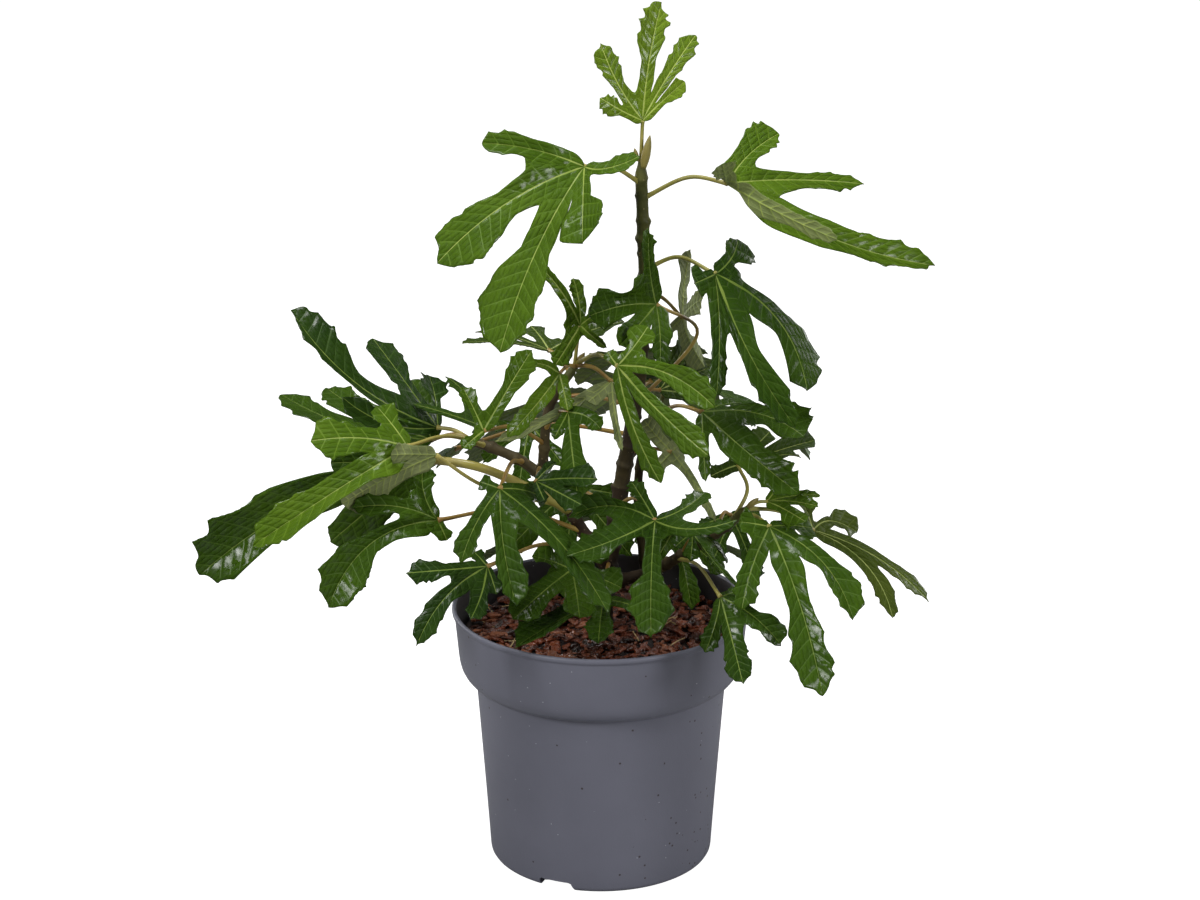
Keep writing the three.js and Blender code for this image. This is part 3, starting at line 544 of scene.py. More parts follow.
leaf("left_inner", [-84, 4, 317], ("left_bough", 0.95), "deep",
     [[122, 26, 53, -0.16, 0.9], [-172, 21, 49, 0.08, 0.6]],
     waist=0.8)
leaf("left_back", [-119, 30, 298], ("left_bough", 0.93), "deep",
     [[109, 32, 57, 0, 0.9], [153, 17, 90, 0.19, 0.87], [172, 15, 111, 0.36, 1.06]],
     waist=0.8)
leaf("left_underside", [-111, -60, 317], ("left_bough", 0.4), "olive",
     [[-157, -21, 72, 0, 1.5], [-155, 8, 33, 0, 1.2]],
     bend=[-80, -45, 290], waist=0.9)
leaf("behind_pale", [56, 20, 390], ("leader", 0.74), "olive",
     [[79, 53, 51, 0.09, 1.5], [69, 4, 43, 0, 1.2], [61, -52, 56, 0, 1.5],
      [-142, -36, 20, 0, 1.2]],
     waist=0.9)
leaf("behind_olive", [41, 26, 336], ("leader", 0.52), "olive",
     [[34, -18, 38, 0, 1.4], [46, 6, 50, 0, 1.3], [63, 31, 48, 0, 1.3]],
     waist=0.9)
leaf("inner_pale", [49, 0, 299], ("leader", 0.4), "olive",
     [[59, 13, 35, 0, 1.2], [-33, -51, 57, -0.15, 0.45], [-140, -32, 18, 0, 1.2],
      [153, 43, 30, 0, 1.5]],
     waist=0.9)
leaf("low_front", [2, -45, 207], ("leader", 0.17), "deep",
     [[-137, -9, 83, 0.04, 0.95], [-94, -12, 54, 0, 1.1], [-40, 1, 39]],
     waist=0.7, bays=[24, 14])
leaf("low_shade", [-20, -45, 229], ("leader", 0.21), "deep",
     [[-170, 23, 30, 0, 1.6], [-128, -15, 66, 0, 1.3], [-83, -21, 49, 0, 1.3],
      [-19, -14, 37, 0, 1.61], [27, 30, 28, 0, 1.92]],
     waist=0.9, bays=[10, 26, 16, 14])
print("leaves written lobe by lobe:", len(LEAVES))

# %% [markdown]
# The back of the crown is filled by eleven even hands, given only by where they point, how they
# tip and how far they reach. Most of them hang steeply, which hides the boughs behind them.

# %% Leaves at the back
hand("back_high", [30, 67, 352], ("leader", 0.6), 88, -34, -6, 92)
hand("back_right", [80, 74, 321], ("second_stem", 1), 34, -34, 8, 104)
hand("back_right_low", [52, 52, 222], ("second_stem", 0.3), -70, -52, 0, 60)
hand("back_middle", [36, 115, 315], ("back_bough", 0.97), 80, -48, 6, 108)
hand("back_left", [-52, 104, 300], ("back_bough", 0.93), 122, -40, -8, 106)
hand("back_left_low", [-50, 40, 306], ("upright_shoot", 0.4), -100, -40, 0, 54)
hand("back_far_left", [-104, 52, 284], ("back_bough", 0.7), 168, -34, 10, 100)
hand("back_far_right", [92, 36, 240], ("right_bough", 0.75), -58, -50, 0, 54)
hand("back_low", [-20, 66, 250], ("leader", 0.25), -96, -50, 0, 84)
hand("back_rim_left", [-34, 78, 214], ("leader", 0.16), 125, -30, -6, 80)
hand("back_rim_right", [52, 80, 214], ("second_stem", 0.3), 55, -30, 6, 80)
print("leaves:", len(LEAVES))

# %% [markdown]
# ## From hand to lobes
# Every lobe gets a midrib, which is a quadratic Bezier curve from the joint to the tip, and a
# frame of three directions along it: forward, sideways and up. A blade could be modelled flat and
# bent with modifiers, but a fig's lobes each bend their own way, so each point of the blade is
# placed by its own lobe's frame, and points between two lobes are shared out by angle.

# %% Lobes
LOBE_BREADTH = 0.146
LOBE_ARCH = 0.1
WAIST = 0.55
BAY_DEPTH = 0.31
DEEPEST_BAY = 0.58


class Leaf:
    """The bent frame of one leaf, which places any flat point of any lobe."""

    def __init__(self, spec):
        self.joint = np.array(spec["joint"], float)
        self.along, self.length, sweeps, self.breadth, self.skew = zip(*spec["lobes"])
        neighbours = list(zip(self.along, self.along[1:]))
        folds = [np.cross(a, b) for a, b in neighbours]
        face = unit(sum(folds))
        arch = spec.get("arch", LOBE_ARCH)
        self.up, self.middle, self.tip = [], [], []
        for i, (along, length, sweep) in enumerate(zip(self.along, self.length, sweeps)):
            local = unit(sum(folds[max(i - 1, 0):i + 1])) + 0.6 * face
            up = unit(local - np.dot(local, along) * along)
            tip = self.joint + along * length
            side = np.cross(up, along)
            self.up.append(up)
            self.tip.append(tip)
            self.middle.append((self.joint + tip) / 2 + up * arch * length + side * sweep * length)
        longest = max(self.length)
        self.half = [LOBE_BREADTH * math.sqrt(l * longest) for l in self.length]
        self.angle = [math.acos(np.clip(np.dot(a, b), -1, 1)) for a, b in neighbours]
        self.waist = [min(spec.get("waist", WAIST), 0.95 * k) for k in self.breadth]
        self.bay = spec.get("bays") or [self.natural_bay(j) for j in range(len(self.angle))]

    def natural_bay(self, j):
        """How far from the joint the bay after lobe j begins, where the list doesn't say."""
        a, b = self.length[j:j + 2]
        natural = BAY_DEPTH * math.sqrt(a * b)
        room = min(self.waist[j:j + 2]) * (self.half[j] + self.half[j + 1]) / 2
        roomy = room / math.sin(self.angle[j] / 2)
        return min(max(natural, roomy), DEEPEST_BAY * min(a, b))

    def place(self, i, a, x, lift=0.0):
        """3D places of points a mm along and x mm across lobe i."""
        a, x = np.broadcast_arrays(np.asarray(a, float), np.asarray(x, float))
        length = self.length[i]
        t = np.clip(a / length, 0, 1)[..., None]
        here = (1 - t) ** 2 * self.joint + 2 * t * (1 - t) * self.middle[i] + t * t * self.tip[i]
        start, end = self.middle[i] - self.joint, self.tip[i] - self.middle[i]
        forward = unit((1 - t) * start + t * end)
        up = unit(self.up[i] - (forward @ self.up[i])[..., None] * forward)
        side = np.cross(up, forward)
        over = np.maximum(a - length, 0)[..., None]
        return here + forward * over + side * x[..., None] + up * np.asarray(lift)[..., None]


for spec in LEAVES.values():
    spec["leaf"] = Leaf(spec)
print("lobes:", sum(len(spec["leaf"].length) for spec in LEAVES.values()))

# %% [markdown]
# ## The blade as a grid of rows
# The side veins of a fig leaf slant forward from each midrib, and the blade bulges between them.
# So the mesh runs the same way: its rows follow the side veins, and its columns run along the
# lobe. A pair of close rows makes each vein a narrow strip of faces, which can have its own
# colour. Two lobes share the points of the seam between them, up to the foot of the bay.

# %% Rows
SEAM_REACH = 1.35
VEIN_STEPS = [0.03, 0.22, 0.41, 0.6, 0.79, 0.97]
ROWS_PER_VEIN = len(VEIN_STEPS)


def inner_seam(leaf, i, side):
    """The number of the seam on one side of lobe i, and whether another lobe shares it."""
    j = i if side > 0 else i - 1
    return j, 0 <= j < len(leaf.bay_row)


def vein_rows(leaf, i, spacing):
    """Row positions along lobe i. Rows come in sixes: two close ones at a vein, four between."""
    shared = max([leaf.bay_row[j] for j in (i - 1, i) if 0 <= j < len(leaf.bay_row)], default=0)
    base = shared // ROWS_PER_VEIN + 1
    start = base * spacing
    rest = max(round((leaf.length[i] - start) / spacing), 1)
    pitch = (leaf.length[i] - start) / rest
    first = [(m + s) * spacing for m in range(base) for s in VEIN_STEPS]
    last = [start + (m + s) * pitch for m in range(rest) for s in VEIN_STEPS]
    number = [m + s for m in range(base + rest) for s in VEIN_STEPS]
    rows = np.array([0.0, *first, *last[:-1], leaf.length[i]])
    return rows, np.array([0.0, *number[:-1], base + rest])


print("rows to each side vein:", ROWS_PER_VEIN)

# %% [markdown]
# A fig leaf's margin has a few coarse teeth, and fine ones on them. A tooth is the cusp between
# two hollows that are taken off the breadth of the lobe. Each lobe draws its own numbers, so no
# two are alike, and the same seed gives the same leaf every time.

# %% Teeth
COARSE_AT = np.array([0.0, 0.5, 0.68, 0.81, 0.92, 1.0])
COARSE_DEPTH = np.array([0.02, 0.08, 0.2, 0.3, 0.3, 0])
CLOSE_TEETH_FROM = 0.6


def scallops(far, edges, depth, spur):
    """Hollows of the given depths between edges, each ending in a cusp that points forward."""
    span = np.clip(np.searchsorted(edges, far) - 1, 0, len(edges) - 2)
    run = np.clip((far - edges[span]) / (edges[span + 1] - edges[span]), 0, 1)
    return depth[span] * (np.sin(np.pi * run ** 0.75) - spur * run ** 6)


def toothed(far, length, half, rng, vigour):
    """What the teeth take off a half lobe's breadth."""
    coarse = COARSE_AT + rng.uniform(-0.045, 0.045, 6)
    coarse[0], coarse[-1] = 0, 1.001
    depth = COARSE_DEPTH * rng.uniform(0.35, 1.25, 6) * half * vigour
    bite = scallops(far, coarse * length, depth, 0.06)
    outer = CLOSE_TEETH_FROM * length
    edges = [0.0]
    while edges[-1] < length:
        edges.append(edges[-1] + (4.6 if edges[-1] > outer else 9.0) * rng.uniform(0.6, 1.45))
    edges = np.array(edges)
    size = np.where(edges > outer, 0.42, 0.2) * rng.uniform(0.2, 1.4, len(edges))
    return bite + scallops(far, edges, size * min(1, 0.3 + length / 110), 0.35)


print("coarse teeth to a half lobe:", len(COARSE_AT) - 1)

# %% [markdown]
# The margin that the teeth are taken off is a smooth profile, with a waist near the bay and a
# swelling beyond it. Near the bay it fades into the seam, so that two lobes meet in one point.

# %% Margins
FULL_TURN = 6.28
PROFILE_AT = np.array([0, 0.15, 0.3, 0.5, 0.62, 0.72, 0.82, 0.90, 0.96, 1])
PROFILE_HALF = np.array([1.1, 1.03, 0.98, 1.0, 0.86, 1.0, 1.1, 0.94, 0.6, 0])
WAISTED = PROFILE_AT < 0.6
TIP_FROM = 0.82


def margin_of(leaf, i, side, rows, rng, vigour):
    """Distance and angle, seen from the joint, at which every row of a half lobe ends."""
    length, half, own = leaf.length[i], leaf.half[i], leaf.breadth[i]
    j, inner = inner_seam(leaf, i, side)
    first = leaf.bay_row[j] if inner else 0
    run = np.clip((rows - rows[first]) / (length - rows[first]), 0, 1)
    ahead = 1 - (1 - run) ** SEAM_REACH
    spread = leaf.angle[j] / 2 if inner else math.pi / 2
    bay = SEAM_REACH * rows[first]
    start = bay * math.cos(spread)
    far = start + (length - start) * ahead
    share = far / length
    waist, end = leaf.waist[i] * rng.uniform(0.92, 1.1), rng.uniform(0.6, 1.7)
    swell = rng.uniform(0, FULL_TURN)
    breadth = np.interp(share, PROFILE_AT, np.where(WAISTED, waist, own) * PROFILE_HALF)
    skew = side * leaf.skew[i]
    blunt = (np.maximum(breadth, 1e-6) / own) ** (end * math.exp(-1.5 * skew))
    breadth = np.where(share > TIP_FROM, own * blunt, breadth)
    breadth = breadth * (1 + skew * ease((share - 0.3) / 0.4))
    breadth = half * breadth * (1 + 0.05 * np.sin(9 * share + swell)) * rng.uniform(0.93, 1.07)
    bite = toothed(far, length, half, rng, vigour) * np.minimum(1, (1 - share) / 0.04)
    breadth = np.maximum(breadth - bite * min(1, own), 0.25 * breadth)
    if inner:
        fade = (1 - np.sqrt(np.minimum(ahead / 0.35, 1))) ** 2
        breadth = fade * bay * math.sin(spread) + (1 - fade) * breadth
        room = np.maximum(far, 0.1) * math.tan(min(spread, 1.35))
        breadth = np.minimum(breadth, np.maximum(room - 0.6, 0.4 * room) + fade * 0.6)
    else:
        breadth = breadth * np.sqrt(np.minimum(share / 0.12, 1))
    reach, turn = np.hypot(far, breadth), np.arctan2(breadth, np.maximum(far, 1e-9))
    if inner:
        before = np.arange(len(rows)) <= first
        reach = np.where(before, SEAM_REACH * rows, reach)
        turn = np.where(before, spread, turn)
    reach[-1], turn[-1] = length, 0
    return reach, turn


print("places at which the profile is given:", len(PROFILE_AT))

# %% [markdown]
# ## Bending a blade
# The rows and margins are flat. `bent` lays them on a lobe: each half lobe is turned up or down
# like the page of a book, and its margin waves. Near the joint the blade stays quiet, because
# all the ribs meet there.

# %% Folds and waves
LEAN = (-8, 28)
UNEVEN_FOLD = 9


def bent(leaf, i, side, far, across):
    """Places points at far mm along and across mm beside the midrib of half lobe (i, side)."""
    fold, wave, pitch, phase = leaf.bend[i, side]
    away = np.hypot(far, across)
    open_share = ease((away - 0.5 * leaf.quiet) / (1.2 * leaf.quiet))
    turn = fold * open_share
    ripple = wave * np.sin(2 * math.pi * far / pitch + phase) * (across / leaf.half[i]) ** 2
    lift = across * np.sin(turn) + ripple * open_share
    return leaf.place(i, far, side * across * np.cos(turn), lift)


def give_habit(leaf, spec, spacing, rng):
    """Draws the folds and waves of every half lobe, and finds the row at which each bay starts."""
    folds = spec.get("folds", {})
    leaf.bay_row = [max(2, round(bay / SEAM_REACH / spacing * ROWS_PER_VEIN)) for bay in leaf.bay]
    leaf.quiet = min(leaf.bay, default=0.25 * leaf.length[0])
    leaf.bend = {}
    for i, length in enumerate(leaf.length):
        lean = rng.uniform(*LEAN)
        for side in (-1, 1):
            fold = folds.get((i, side), lean + rng.uniform(-UNEVEN_FOLD, UNEVEN_FOLD))
            leaf.bend[i, side] = (math.radians(fold), rng.uniform(0.5, 1.7),
                                  rng.uniform(0.3, 0.5) * length + 8, rng.uniform(0, FULL_TURN))


print("half lobes lean by", LEAN, "degrees, and their two sides differ by up to", 2 * UNEVEN_FOLD)

# %% [markdown]
# A half lobe is one grid of points. Its first column is the midrib, and the second lies so close
# beside it that the faces between them are the rib. Beside the seam each point is shared out
# between its own lobe's bend and the next one's, so the blade has no crease there. The grid also
# notes how much each point bulges between the veins and stands out below.

# %% Half lobe
RIB_WIDTH = 0.75
VEIN_WIDTH = 0.2


def half_lobe(leaf, i, side, rows, number, columns, margin):
    """Places, vein coordinates, bulge and depth of the grid of points of one half lobe."""
    reach, turn = margin
    width = reach * np.sin(np.minimum(turn, math.pi / 2)) + 1e-6
    slimming = 1 - 0.7 * rows / leaf.length[i]
    rib = np.minimum(0.3, RIB_WIDTH * slimming / width)
    even = np.linspace(0, 1, columns)
    t = np.concatenate([np.zeros((len(rows), 1)), rib[:, None] + (1 - rib[:, None]) * even], axis=1)
    kind = np.arange(len(rows)) % ROWS_PER_VEIN
    push = np.where(kind == 1, 1.0, 0) - np.where(kind == 0, 1.0, 0)
    push[0] = push[-1] = 0
    offset = push[:, None] * VEIN_WIDTH * (1 - 0.8 * t) * np.minimum(1, rows / 12)[:, None]
    away = rows[:, None] + (reach - rows)[:, None] * t ** 1.3 + offset
    angle = turn[:, None] * t
    far, across = away * np.cos(angle), away * np.sin(angle)
    place = bent(leaf, i, side, far, across)
    j, inner = inner_seam(leaf, i, side)
    if inner:
        rest = leaf.angle[j] - angle
        there = bent(leaf, i + side, -side, away * np.cos(rest), away * np.sin(rest))
        bay = SEAM_REACH * rows[leaf.bay_row[j]]
        fade = 1 - ease((away - bay) / (0.25 * leaf.length[i]))
        share = 0.5 * ease(angle / (leaf.angle[j] / 2)) * fade
        place = place * (1 - share[..., None]) + there * share[..., None]
    dome = np.sin(np.pi * np.abs(number % 1))[:, None] * np.sin(np.pi * np.clip(t, 0, 1)) ** 0.6
    dome = dome * np.minimum(1, rows / 20)[:, None]
    on_vein = (kind <= 1)[:, None] * (1 - t) * 0.35 * np.minimum(1, rows / 14)[:, None]
    along_row = np.hypot(across, 0.3 * across) / 3.7
    coords = np.stack([np.broadcast_to(number[:, None], t.shape), along_row], -1)
    return place, coords, dome, on_vein + (t == 0) * slimming[:, None]


print("a rib is", 2 * RIB_WIDTH, "mm wide at its foot, and a vein", 2 * VEIN_WIDTH, "mm")

# %% [markdown]
# `leaf_sheet` runs through the half lobes of one leaf and numbers their points, so that a midrib
# is shared by its two halves, and a seam by two lobes.

# %% Leaf sheet
BLADE, RIB, VEIN = range(3)


def leaf_sheet(leaf, spacing, columns, rng, vigour):
    """A leaf without thickness: triangles, their kinds, and four values for every point."""
    values = [[leaf.joint[None]], [np.zeros((1, 2))], [np.zeros(1)], [np.ones(1)]]
    triangles, kinds = [], []
    seam, total = {}, 1
    for i in range(len(leaf.length)):
        rows, number = vein_rows(leaf, i, spacing)
        kind = np.arange(len(rows) - 1) % ROWS_PER_VEIN
        midrib = None
        for side in (-1, 1):
            j, inner = inner_seam(leaf, i, side)
            margin = margin_of(leaf, i, side, rows, rng, vigour)
            ids = np.full((len(rows), columns + 1), -1)
            ids[0, :] = 0
            fresh = np.ones_like(ids, bool)
            fresh[0, :] = False
            fresh[-1, 1:] = False
            if midrib is not None:
                ids[:, 0] = midrib
                fresh[:, 0] = False
            if inner and j in seam:
                held = leaf.bay_row[j] + 1
                ids[1:held, -1] = seam[j][1:]
                fresh[1:held, -1] = False
            ids[fresh] = total + np.arange(fresh.sum())
            total += int(fresh.sum())
            for kept, grid in zip(values, half_lobe(leaf, i, side, rows, number, columns, margin)):
                kept.append(grid[fresh])
            midrib = ids[:, 0]
            ids[-1, :] = midrib[-1]
            if inner and j not in seam:
                seam[j] = ids[:leaf.bay_row[j] + 1, -1]
            a, b, c, d = ids[:-1, :-1], ids[1:, :-1], ids[1:, 1:], ids[:-1, 1:]
            face_kind = np.full(a.shape, BLADE)
            face_kind[(kind == 0) & (np.arange(len(kind)) > 4), 1:-1] = VEIN
            face_kind[:, 0] = RIB
            for corners in ((a, b, c), (a, c, d)):
                three = np.stack(corners if side > 0 else corners[::-1], -1).reshape(-1, 3)
                sound = (three != np.roll(three, 1, axis=1)).all(axis=1)
                triangles.append(three[sound])
                kinds.append(face_kind.ravel()[sound])
    return np.concatenate(triangles), np.concatenate(kinds), [np.concatenate(v) for v in values]


print("kinds of face in a sheet: blade", BLADE, "rib", RIB, "vein", VEIN)

# %% [markdown]
# ## Closing a blade
# A real blade is a solid, though a thin one. The sheet is puckered between its veins and doubled:
# one skin goes up by half the thickness and the other down, and further down along the ribs,
# which stand out below. A rim of triangles along the margin closes the two skins.

# %% Closed blades
BLADE_HALF_THICKNESS = 0.22
PUCKER = 0.18
RIB_RISE_ABOVE, RIB_RISE_BELOW = -0.25, 0.9
UNDER_BLADE, UNDER_RIB = 3, 4
ROW_SPACING, FINEST_ROWS, WIDEST_ROWS = 0.075, 5.2, 9.5
FIRST_SEED = 100


def point_normals(points, triangles):
    corner = points[triangles]
    flat = np.cross(corner[:, 1] - corner[:, 0], corner[:, 2] - corner[:, 0])
    normal = np.zeros_like(points)
    for k in range(3):
        np.add.at(normal, triangles[:, k], flat)
    return unit(normal)


def blade_mesh(spec, seed, spacing, columns):
    """Points, triangles, face kinds and vein coordinates of one closed leaf blade."""
    rng = np.random.default_rng(seed)
    give_habit(spec["leaf"], spec, spacing, rng)
    triangles, kinds, (points, coords, pucker, below) = leaf_sheet(
        spec["leaf"], spacing, columns, rng, spec.get("teeth", 1.0))
    normal = point_normals(points, triangles)
    puckered = points + normal * (PUCKER * spacing / 9 * pucker)[:, None]
    upper = puckered + normal * (BLADE_HALF_THICKNESS + RIB_RISE_ABOVE * below)[:, None]
    lower = puckered - normal * (BLADE_HALF_THICKNESS + RIB_RISE_BELOW * below)[:, None]
    total = len(points)
    edges = np.concatenate([triangles[:, [0, 1]], triangles[:, [1, 2]], triangles[:, [2, 0]]])
    code, back = edges @ [total, 1], edges @ [1, total]
    p, q = edges[~np.isin(code, back)].T
    rim = [np.stack([q, p, p + total], 1), np.stack([q, p + total, q + total], 1)]
    under_kind = np.where(kinds == BLADE, UNDER_BLADE, UNDER_RIB)
    return (np.concatenate([upper, lower]),
            np.concatenate([triangles, triangles[:, ::-1] + total, *rim]),
            np.concatenate([kinds, under_kind, np.full(2 * len(p), BLADE)]),
            np.concatenate([coords, coords]))


for order, spec in enumerate(LEAVES.values()):
    longest = max(spec["leaf"].length)
    spacing = float(np.clip(ROW_SPACING * longest, FINEST_ROWS, WIDEST_ROWS))
    columns = 9 if longest > 100 else 8 if longest > 60 else 7
    spec["mesh"] = blade_mesh(spec, FIRST_SEED + order, spacing, columns)
print("blade triangles in all:", sum(len(spec["mesh"][1]) for spec in LEAVES.values()))

# %% [markdown]
# ## Leaf finish
# A fig leaf is glossy and puckered above, matt and pale below, and its ribs are yellow-green.
# The puckers are finer than the mesh, so the group `leaf_relief` makes them from the vein
# coordinates: domes between the side veins, cut up by the small cross veins that join them like
# the rungs of a ladder. Each tint is a material of its own, dealt out leaf by leaf.

# %% Leaf relief group
def make_leaf_relief():
    g = Finish.group("leaf_relief", {"Rung Noise": 0.35}, ["Height", "Groove"])
    uv = g.add("ShaderNodeUVMap", uv_map="along_across").outputs["UV"]
    wobble = g.add("ShaderNodeTexNoise", {"Vector": uv, "Scale": 1.7, "Detail": 2.0})
    links = {0: wobble.outputs["Color"], 1: (0.5, 0.5, 0.5)}
    centred = g.add("ShaderNodeVectorMath", links, operation="SUBTRACT").outputs[0]
    links = {0: centred, "Scale": g.entry["Rung Noise"]}
    scaled = g.add("ShaderNodeVectorMath", links, operation="SCALE").outputs[0]
    moved = g.add("ShaderNodeVectorMath", {0: uv, 1: scaled}, operation="ADD").outputs[0]
    split = g.add("ShaderNodeSeparateXYZ", {0: moved}).outputs
    vein, rung = (g.math("ABSOLUTE", g.math("SINE", g.math("MULTIPLY", split[k], math.pi)))
                  for k in range(2))
    dome = g.math("MULTIPLY", g.math("POWER", vein, 0.45), g.math("POWER", rung, 0.6))
    links = {"Vector": moved, "Scale": 3.2}
    fine = g.add("ShaderNodeTexVoronoi", links, feature="DISTANCE_TO_EDGE").outputs["Distance"]
    net = g.math("MULTIPLY", g.ramp(fine, 0.0, 0.16), 0.22)
    g.put(g.math("ADD", dome, net), g.exit["Height"])
    raised = g.math("MINIMUM", g.math("MULTIPLY", dome, 2.2), 1.0)
    g.put(g.math("SUBTRACT", 1.0, raised), g.exit["Groove"])
    return g.made


LEAF_RELIEF = make_leaf_relief()
sockets = LEAF_RELIEF.interface.items_tree
print("leaf relief puts out:", ", ".join(s.name for s in sockets if s.in_out == "OUTPUT"))

# %% [markdown]
# The upper finish has a waxy coat that comes and goes, the under finish is dull and shows its
# net of veins as pale lines, and ribs and veins share a plain smooth finish.

# %% Leaf finishes
VEIN_ROUGHNESS = 0.36
RIB_ROUGHNESS = 0.42


def upper_finish(name, dark, light, groove):
    f = Finish.material(name, Specular_IOR_Level=0.06, Coat_Roughness=0.14)
    relief = f.place(LEAF_RELIEF)
    f.put(f.ramp(f.mottle(170.0, 3.0), 0.3, 1, 0.0, 0.5), f.shader["Coat Weight"])
    patch, body = f.patches(28.0, 3.0, dark, light)
    veined = f.over(relief["Groove"], 0.35, body, groove)
    return f.paint(veined, patch, (0.31, 0.46), relief["Height"], 1.0, 0.0009)


def under_finish(name, dark, light):
    f = Finish.material(name, Specular_IOR_Level=0.2)
    relief = f.place(LEAF_RELIEF)
    patch, body = f.patches(60.0, 3.0, dark, light)
    netted = f.over(relief["Groove"], 0.5, body, [1.35 * c for c in light])
    hollow = f.math("SUBTRACT", 1.0, relief["Height"])
    return f.paint(netted, patch, (0.56, 0.72), hollow, 0.8, 0.0005)


def rib_finish(name, dark, light, roughness=RIB_ROUGHNESS):
    f = Finish.material(name, Specular_IOR_Level=0.25)
    patch, body = f.patches(90.0, 3.0, dark, light)
    return f.paint(body, patch, (roughness - 0.05, roughness + 0.12), patch, 0.25, 0.0003)


print("roughness of veins above and ribs below:", VEIN_ROUGHNESS, RIB_ROUGHNESS)

# %% [markdown]
# A leaf's green tells its age and its light. The newest is yellow-green, those in the sun are
# bright, shaded ones are deep, and those that turn their back are olive. Each tone but the first
# has two or three tints above. Every tint gives three colours: the blade's darker and lighter
# patches, and the grooves between its puckers.

# %% Leaf tints
TONES = {
    "young": {
        "upper": [((0.101, 0.172, 0.010), (0.147, 0.231, 0.015), (0.176, 0.269, 0.023))],
        "under": ((0.187, 0.255, 0.060), (0.255, 0.315, 0.090)),
        "rib": ((0.300, 0.380, 0.070), (0.380, 0.460, 0.098)),
    },
    "bright": {
        "upper": [((0.059, 0.119, 0.006), (0.093, 0.165, 0.009), (0.110, 0.187, 0.013)),
                  ((0.047, 0.098, 0.005), (0.074, 0.140, 0.008), (0.093, 0.170, 0.013))],
        "under": ((0.145, 0.187, 0.054), (0.212, 0.255, 0.084)),
        "rib": ((0.200, 0.280, 0.049), (0.300, 0.370, 0.077)),
    },
    "deep": {
        "upper": [((0.020, 0.050, 0.004), (0.036, 0.078, 0.005), (0.046, 0.094, 0.008)),
                  ((0.028, 0.065, 0.004), (0.046, 0.096, 0.005), (0.057, 0.112, 0.009)),
                  ((0.013, 0.035, 0.004), (0.024, 0.056, 0.005), (0.034, 0.074, 0.007))],
        "under": ((0.093, 0.132, 0.042), (0.145, 0.183, 0.063)),
        "rib": ((0.105, 0.168, 0.024), (0.180, 0.245, 0.040)),
    },
    "olive": {
        "upper": [((0.048, 0.076, 0.009), (0.074, 0.104, 0.014), (0.088, 0.120, 0.020)),
                  ((0.027, 0.053, 0.006), (0.045, 0.077, 0.010), (0.056, 0.096, 0.013))],
        "under": ((0.145, 0.178, 0.066), (0.212, 0.246, 0.096)),
        "rib": ((0.220, 0.280, 0.070), (0.320, 0.370, 0.105)),
    },
}

for tone, look in TONES.items():
    tints = list(enumerate(look["upper"], 1))
    look["materials"] = [upper_finish(f"{tone}_upper_{n}", *tint) for n, tint in tints]
    for n, tint in tints:
        look["materials"].append(rib_finish(f"{tone}_vein_{n}", *tint[1:], VEIN_ROUGHNESS))
    look["materials"].append(under_finish(f"{tone}_under", *look["under"]))
    look["materials"].append(rib_finish(f"{tone}_rib", *look["rib"]))
print("leaf tints:", sum(len(look["upper"]) for look in TONES.values()))

# %% [markdown]
# ## Joining the blades
# Forty-six separate objects would be slow to handle, so the blades of one tone and one side of
# the crown are joined into one piece, which stands for all of their CAD nodes.

# %% Leaf pieces
BACK_FROM = 32


def leaf_group(piece_name, tone, test=lambda x, y: True):
    """Joins the blades of one tone whose joints pass a test of their place."""
    parts, names = [], []
    tints = len(TONES[tone]["upper"])
    under = 2 * tints
    for order, (name, spec) in enumerate(LEAVES.items()):
        if spec["tone"] == tone and test(*spec["joint"][:2]):
            points, faces, kinds, coords = spec["mesh"]
            tint = spec.get("tint", order % tints)
            dealt = {BLADE: tint, VEIN: tints + tint, UNDER_BLADE: under}
            chosen = np.select([kinds == kind for kind in dealt], list(dealt.values()), under + 1)
            parts.append((points, faces, chosen, coords))
            names.append("leaf_" + name)
    points, faces, chosen, coords = joined(parts)
    materials = TONES[tone]["materials"]
    add_piece(piece_name, points, faces, materials, tone + "_leaf", names, chosen, coords)


for tone in ("young", "bright", "olive"):
    leaf_group(tone + "_leaves", tone)
leaf_group("deep_leaves_left", "deep", lambda x, y: y < BACK_FROM and x < 0)
leaf_group("deep_leaves_right", "deep", lambda x, y: y < BACK_FROM and x >= 0)
leaf_group("deep_leaves_back", "deep", lambda x, y: y >= BACK_FROM)

# %% [markdown]
# ## Tubes for wood and stalks
# Wood and stalks are tubes swept along a smooth curve. A curve object with a bevel could make
# them too, but here every ring gets a radius of its own, so nodes can swell and stalks can
# thicken at both ends. The frame that carries the rings is turned as little as possible from
# ring to ring, which keeps the tube from twisting.

# %% Tube
def tube(path, radii, sides, wobble=None):
    """A closed tube. radii has one value per ring, wobble an optional (rings, sides) factor."""
    path = np.asarray(path, float)
    tangents = unit(np.gradient(path, axis=0))
    normal = unit(np.cross(tangents[0], [0.3, 1, 0.2]))
    turns = round_turns(sides)[:, None]
    rings = []
    for k, (centre, tangent) in enumerate(zip(path, tangents)):
        normal = unit(normal - np.dot(normal, tangent) * tangent)
        radius = np.full(sides, radii[k]) * (wobble[k] if wobble is not None else 1)
        spoke = np.cos(turns) * normal + np.sin(turns) * np.cross(tangent, normal)
        rings.append(centre + radius[:, None] * spoke)
    return np.concatenate([*rings, path[:1], path[-1:]]), closed_rings(len(path), sides)


points, faces = tube([[0, 0, 0], [0, 0, 9]], [1, 1], 12)
print("a plain tube of two rings:", len(points), "points,", len(faces), "triangles")

# %% [markdown]
# ## Stalks
# A fig's leaf stalk is round, thick at its foot, thinner in the middle and thick again where the
# ribs spread from it. Stalks in the sun are yellow-green, and those inside the crown are tan to
# orange-brown, so there are two finishes.

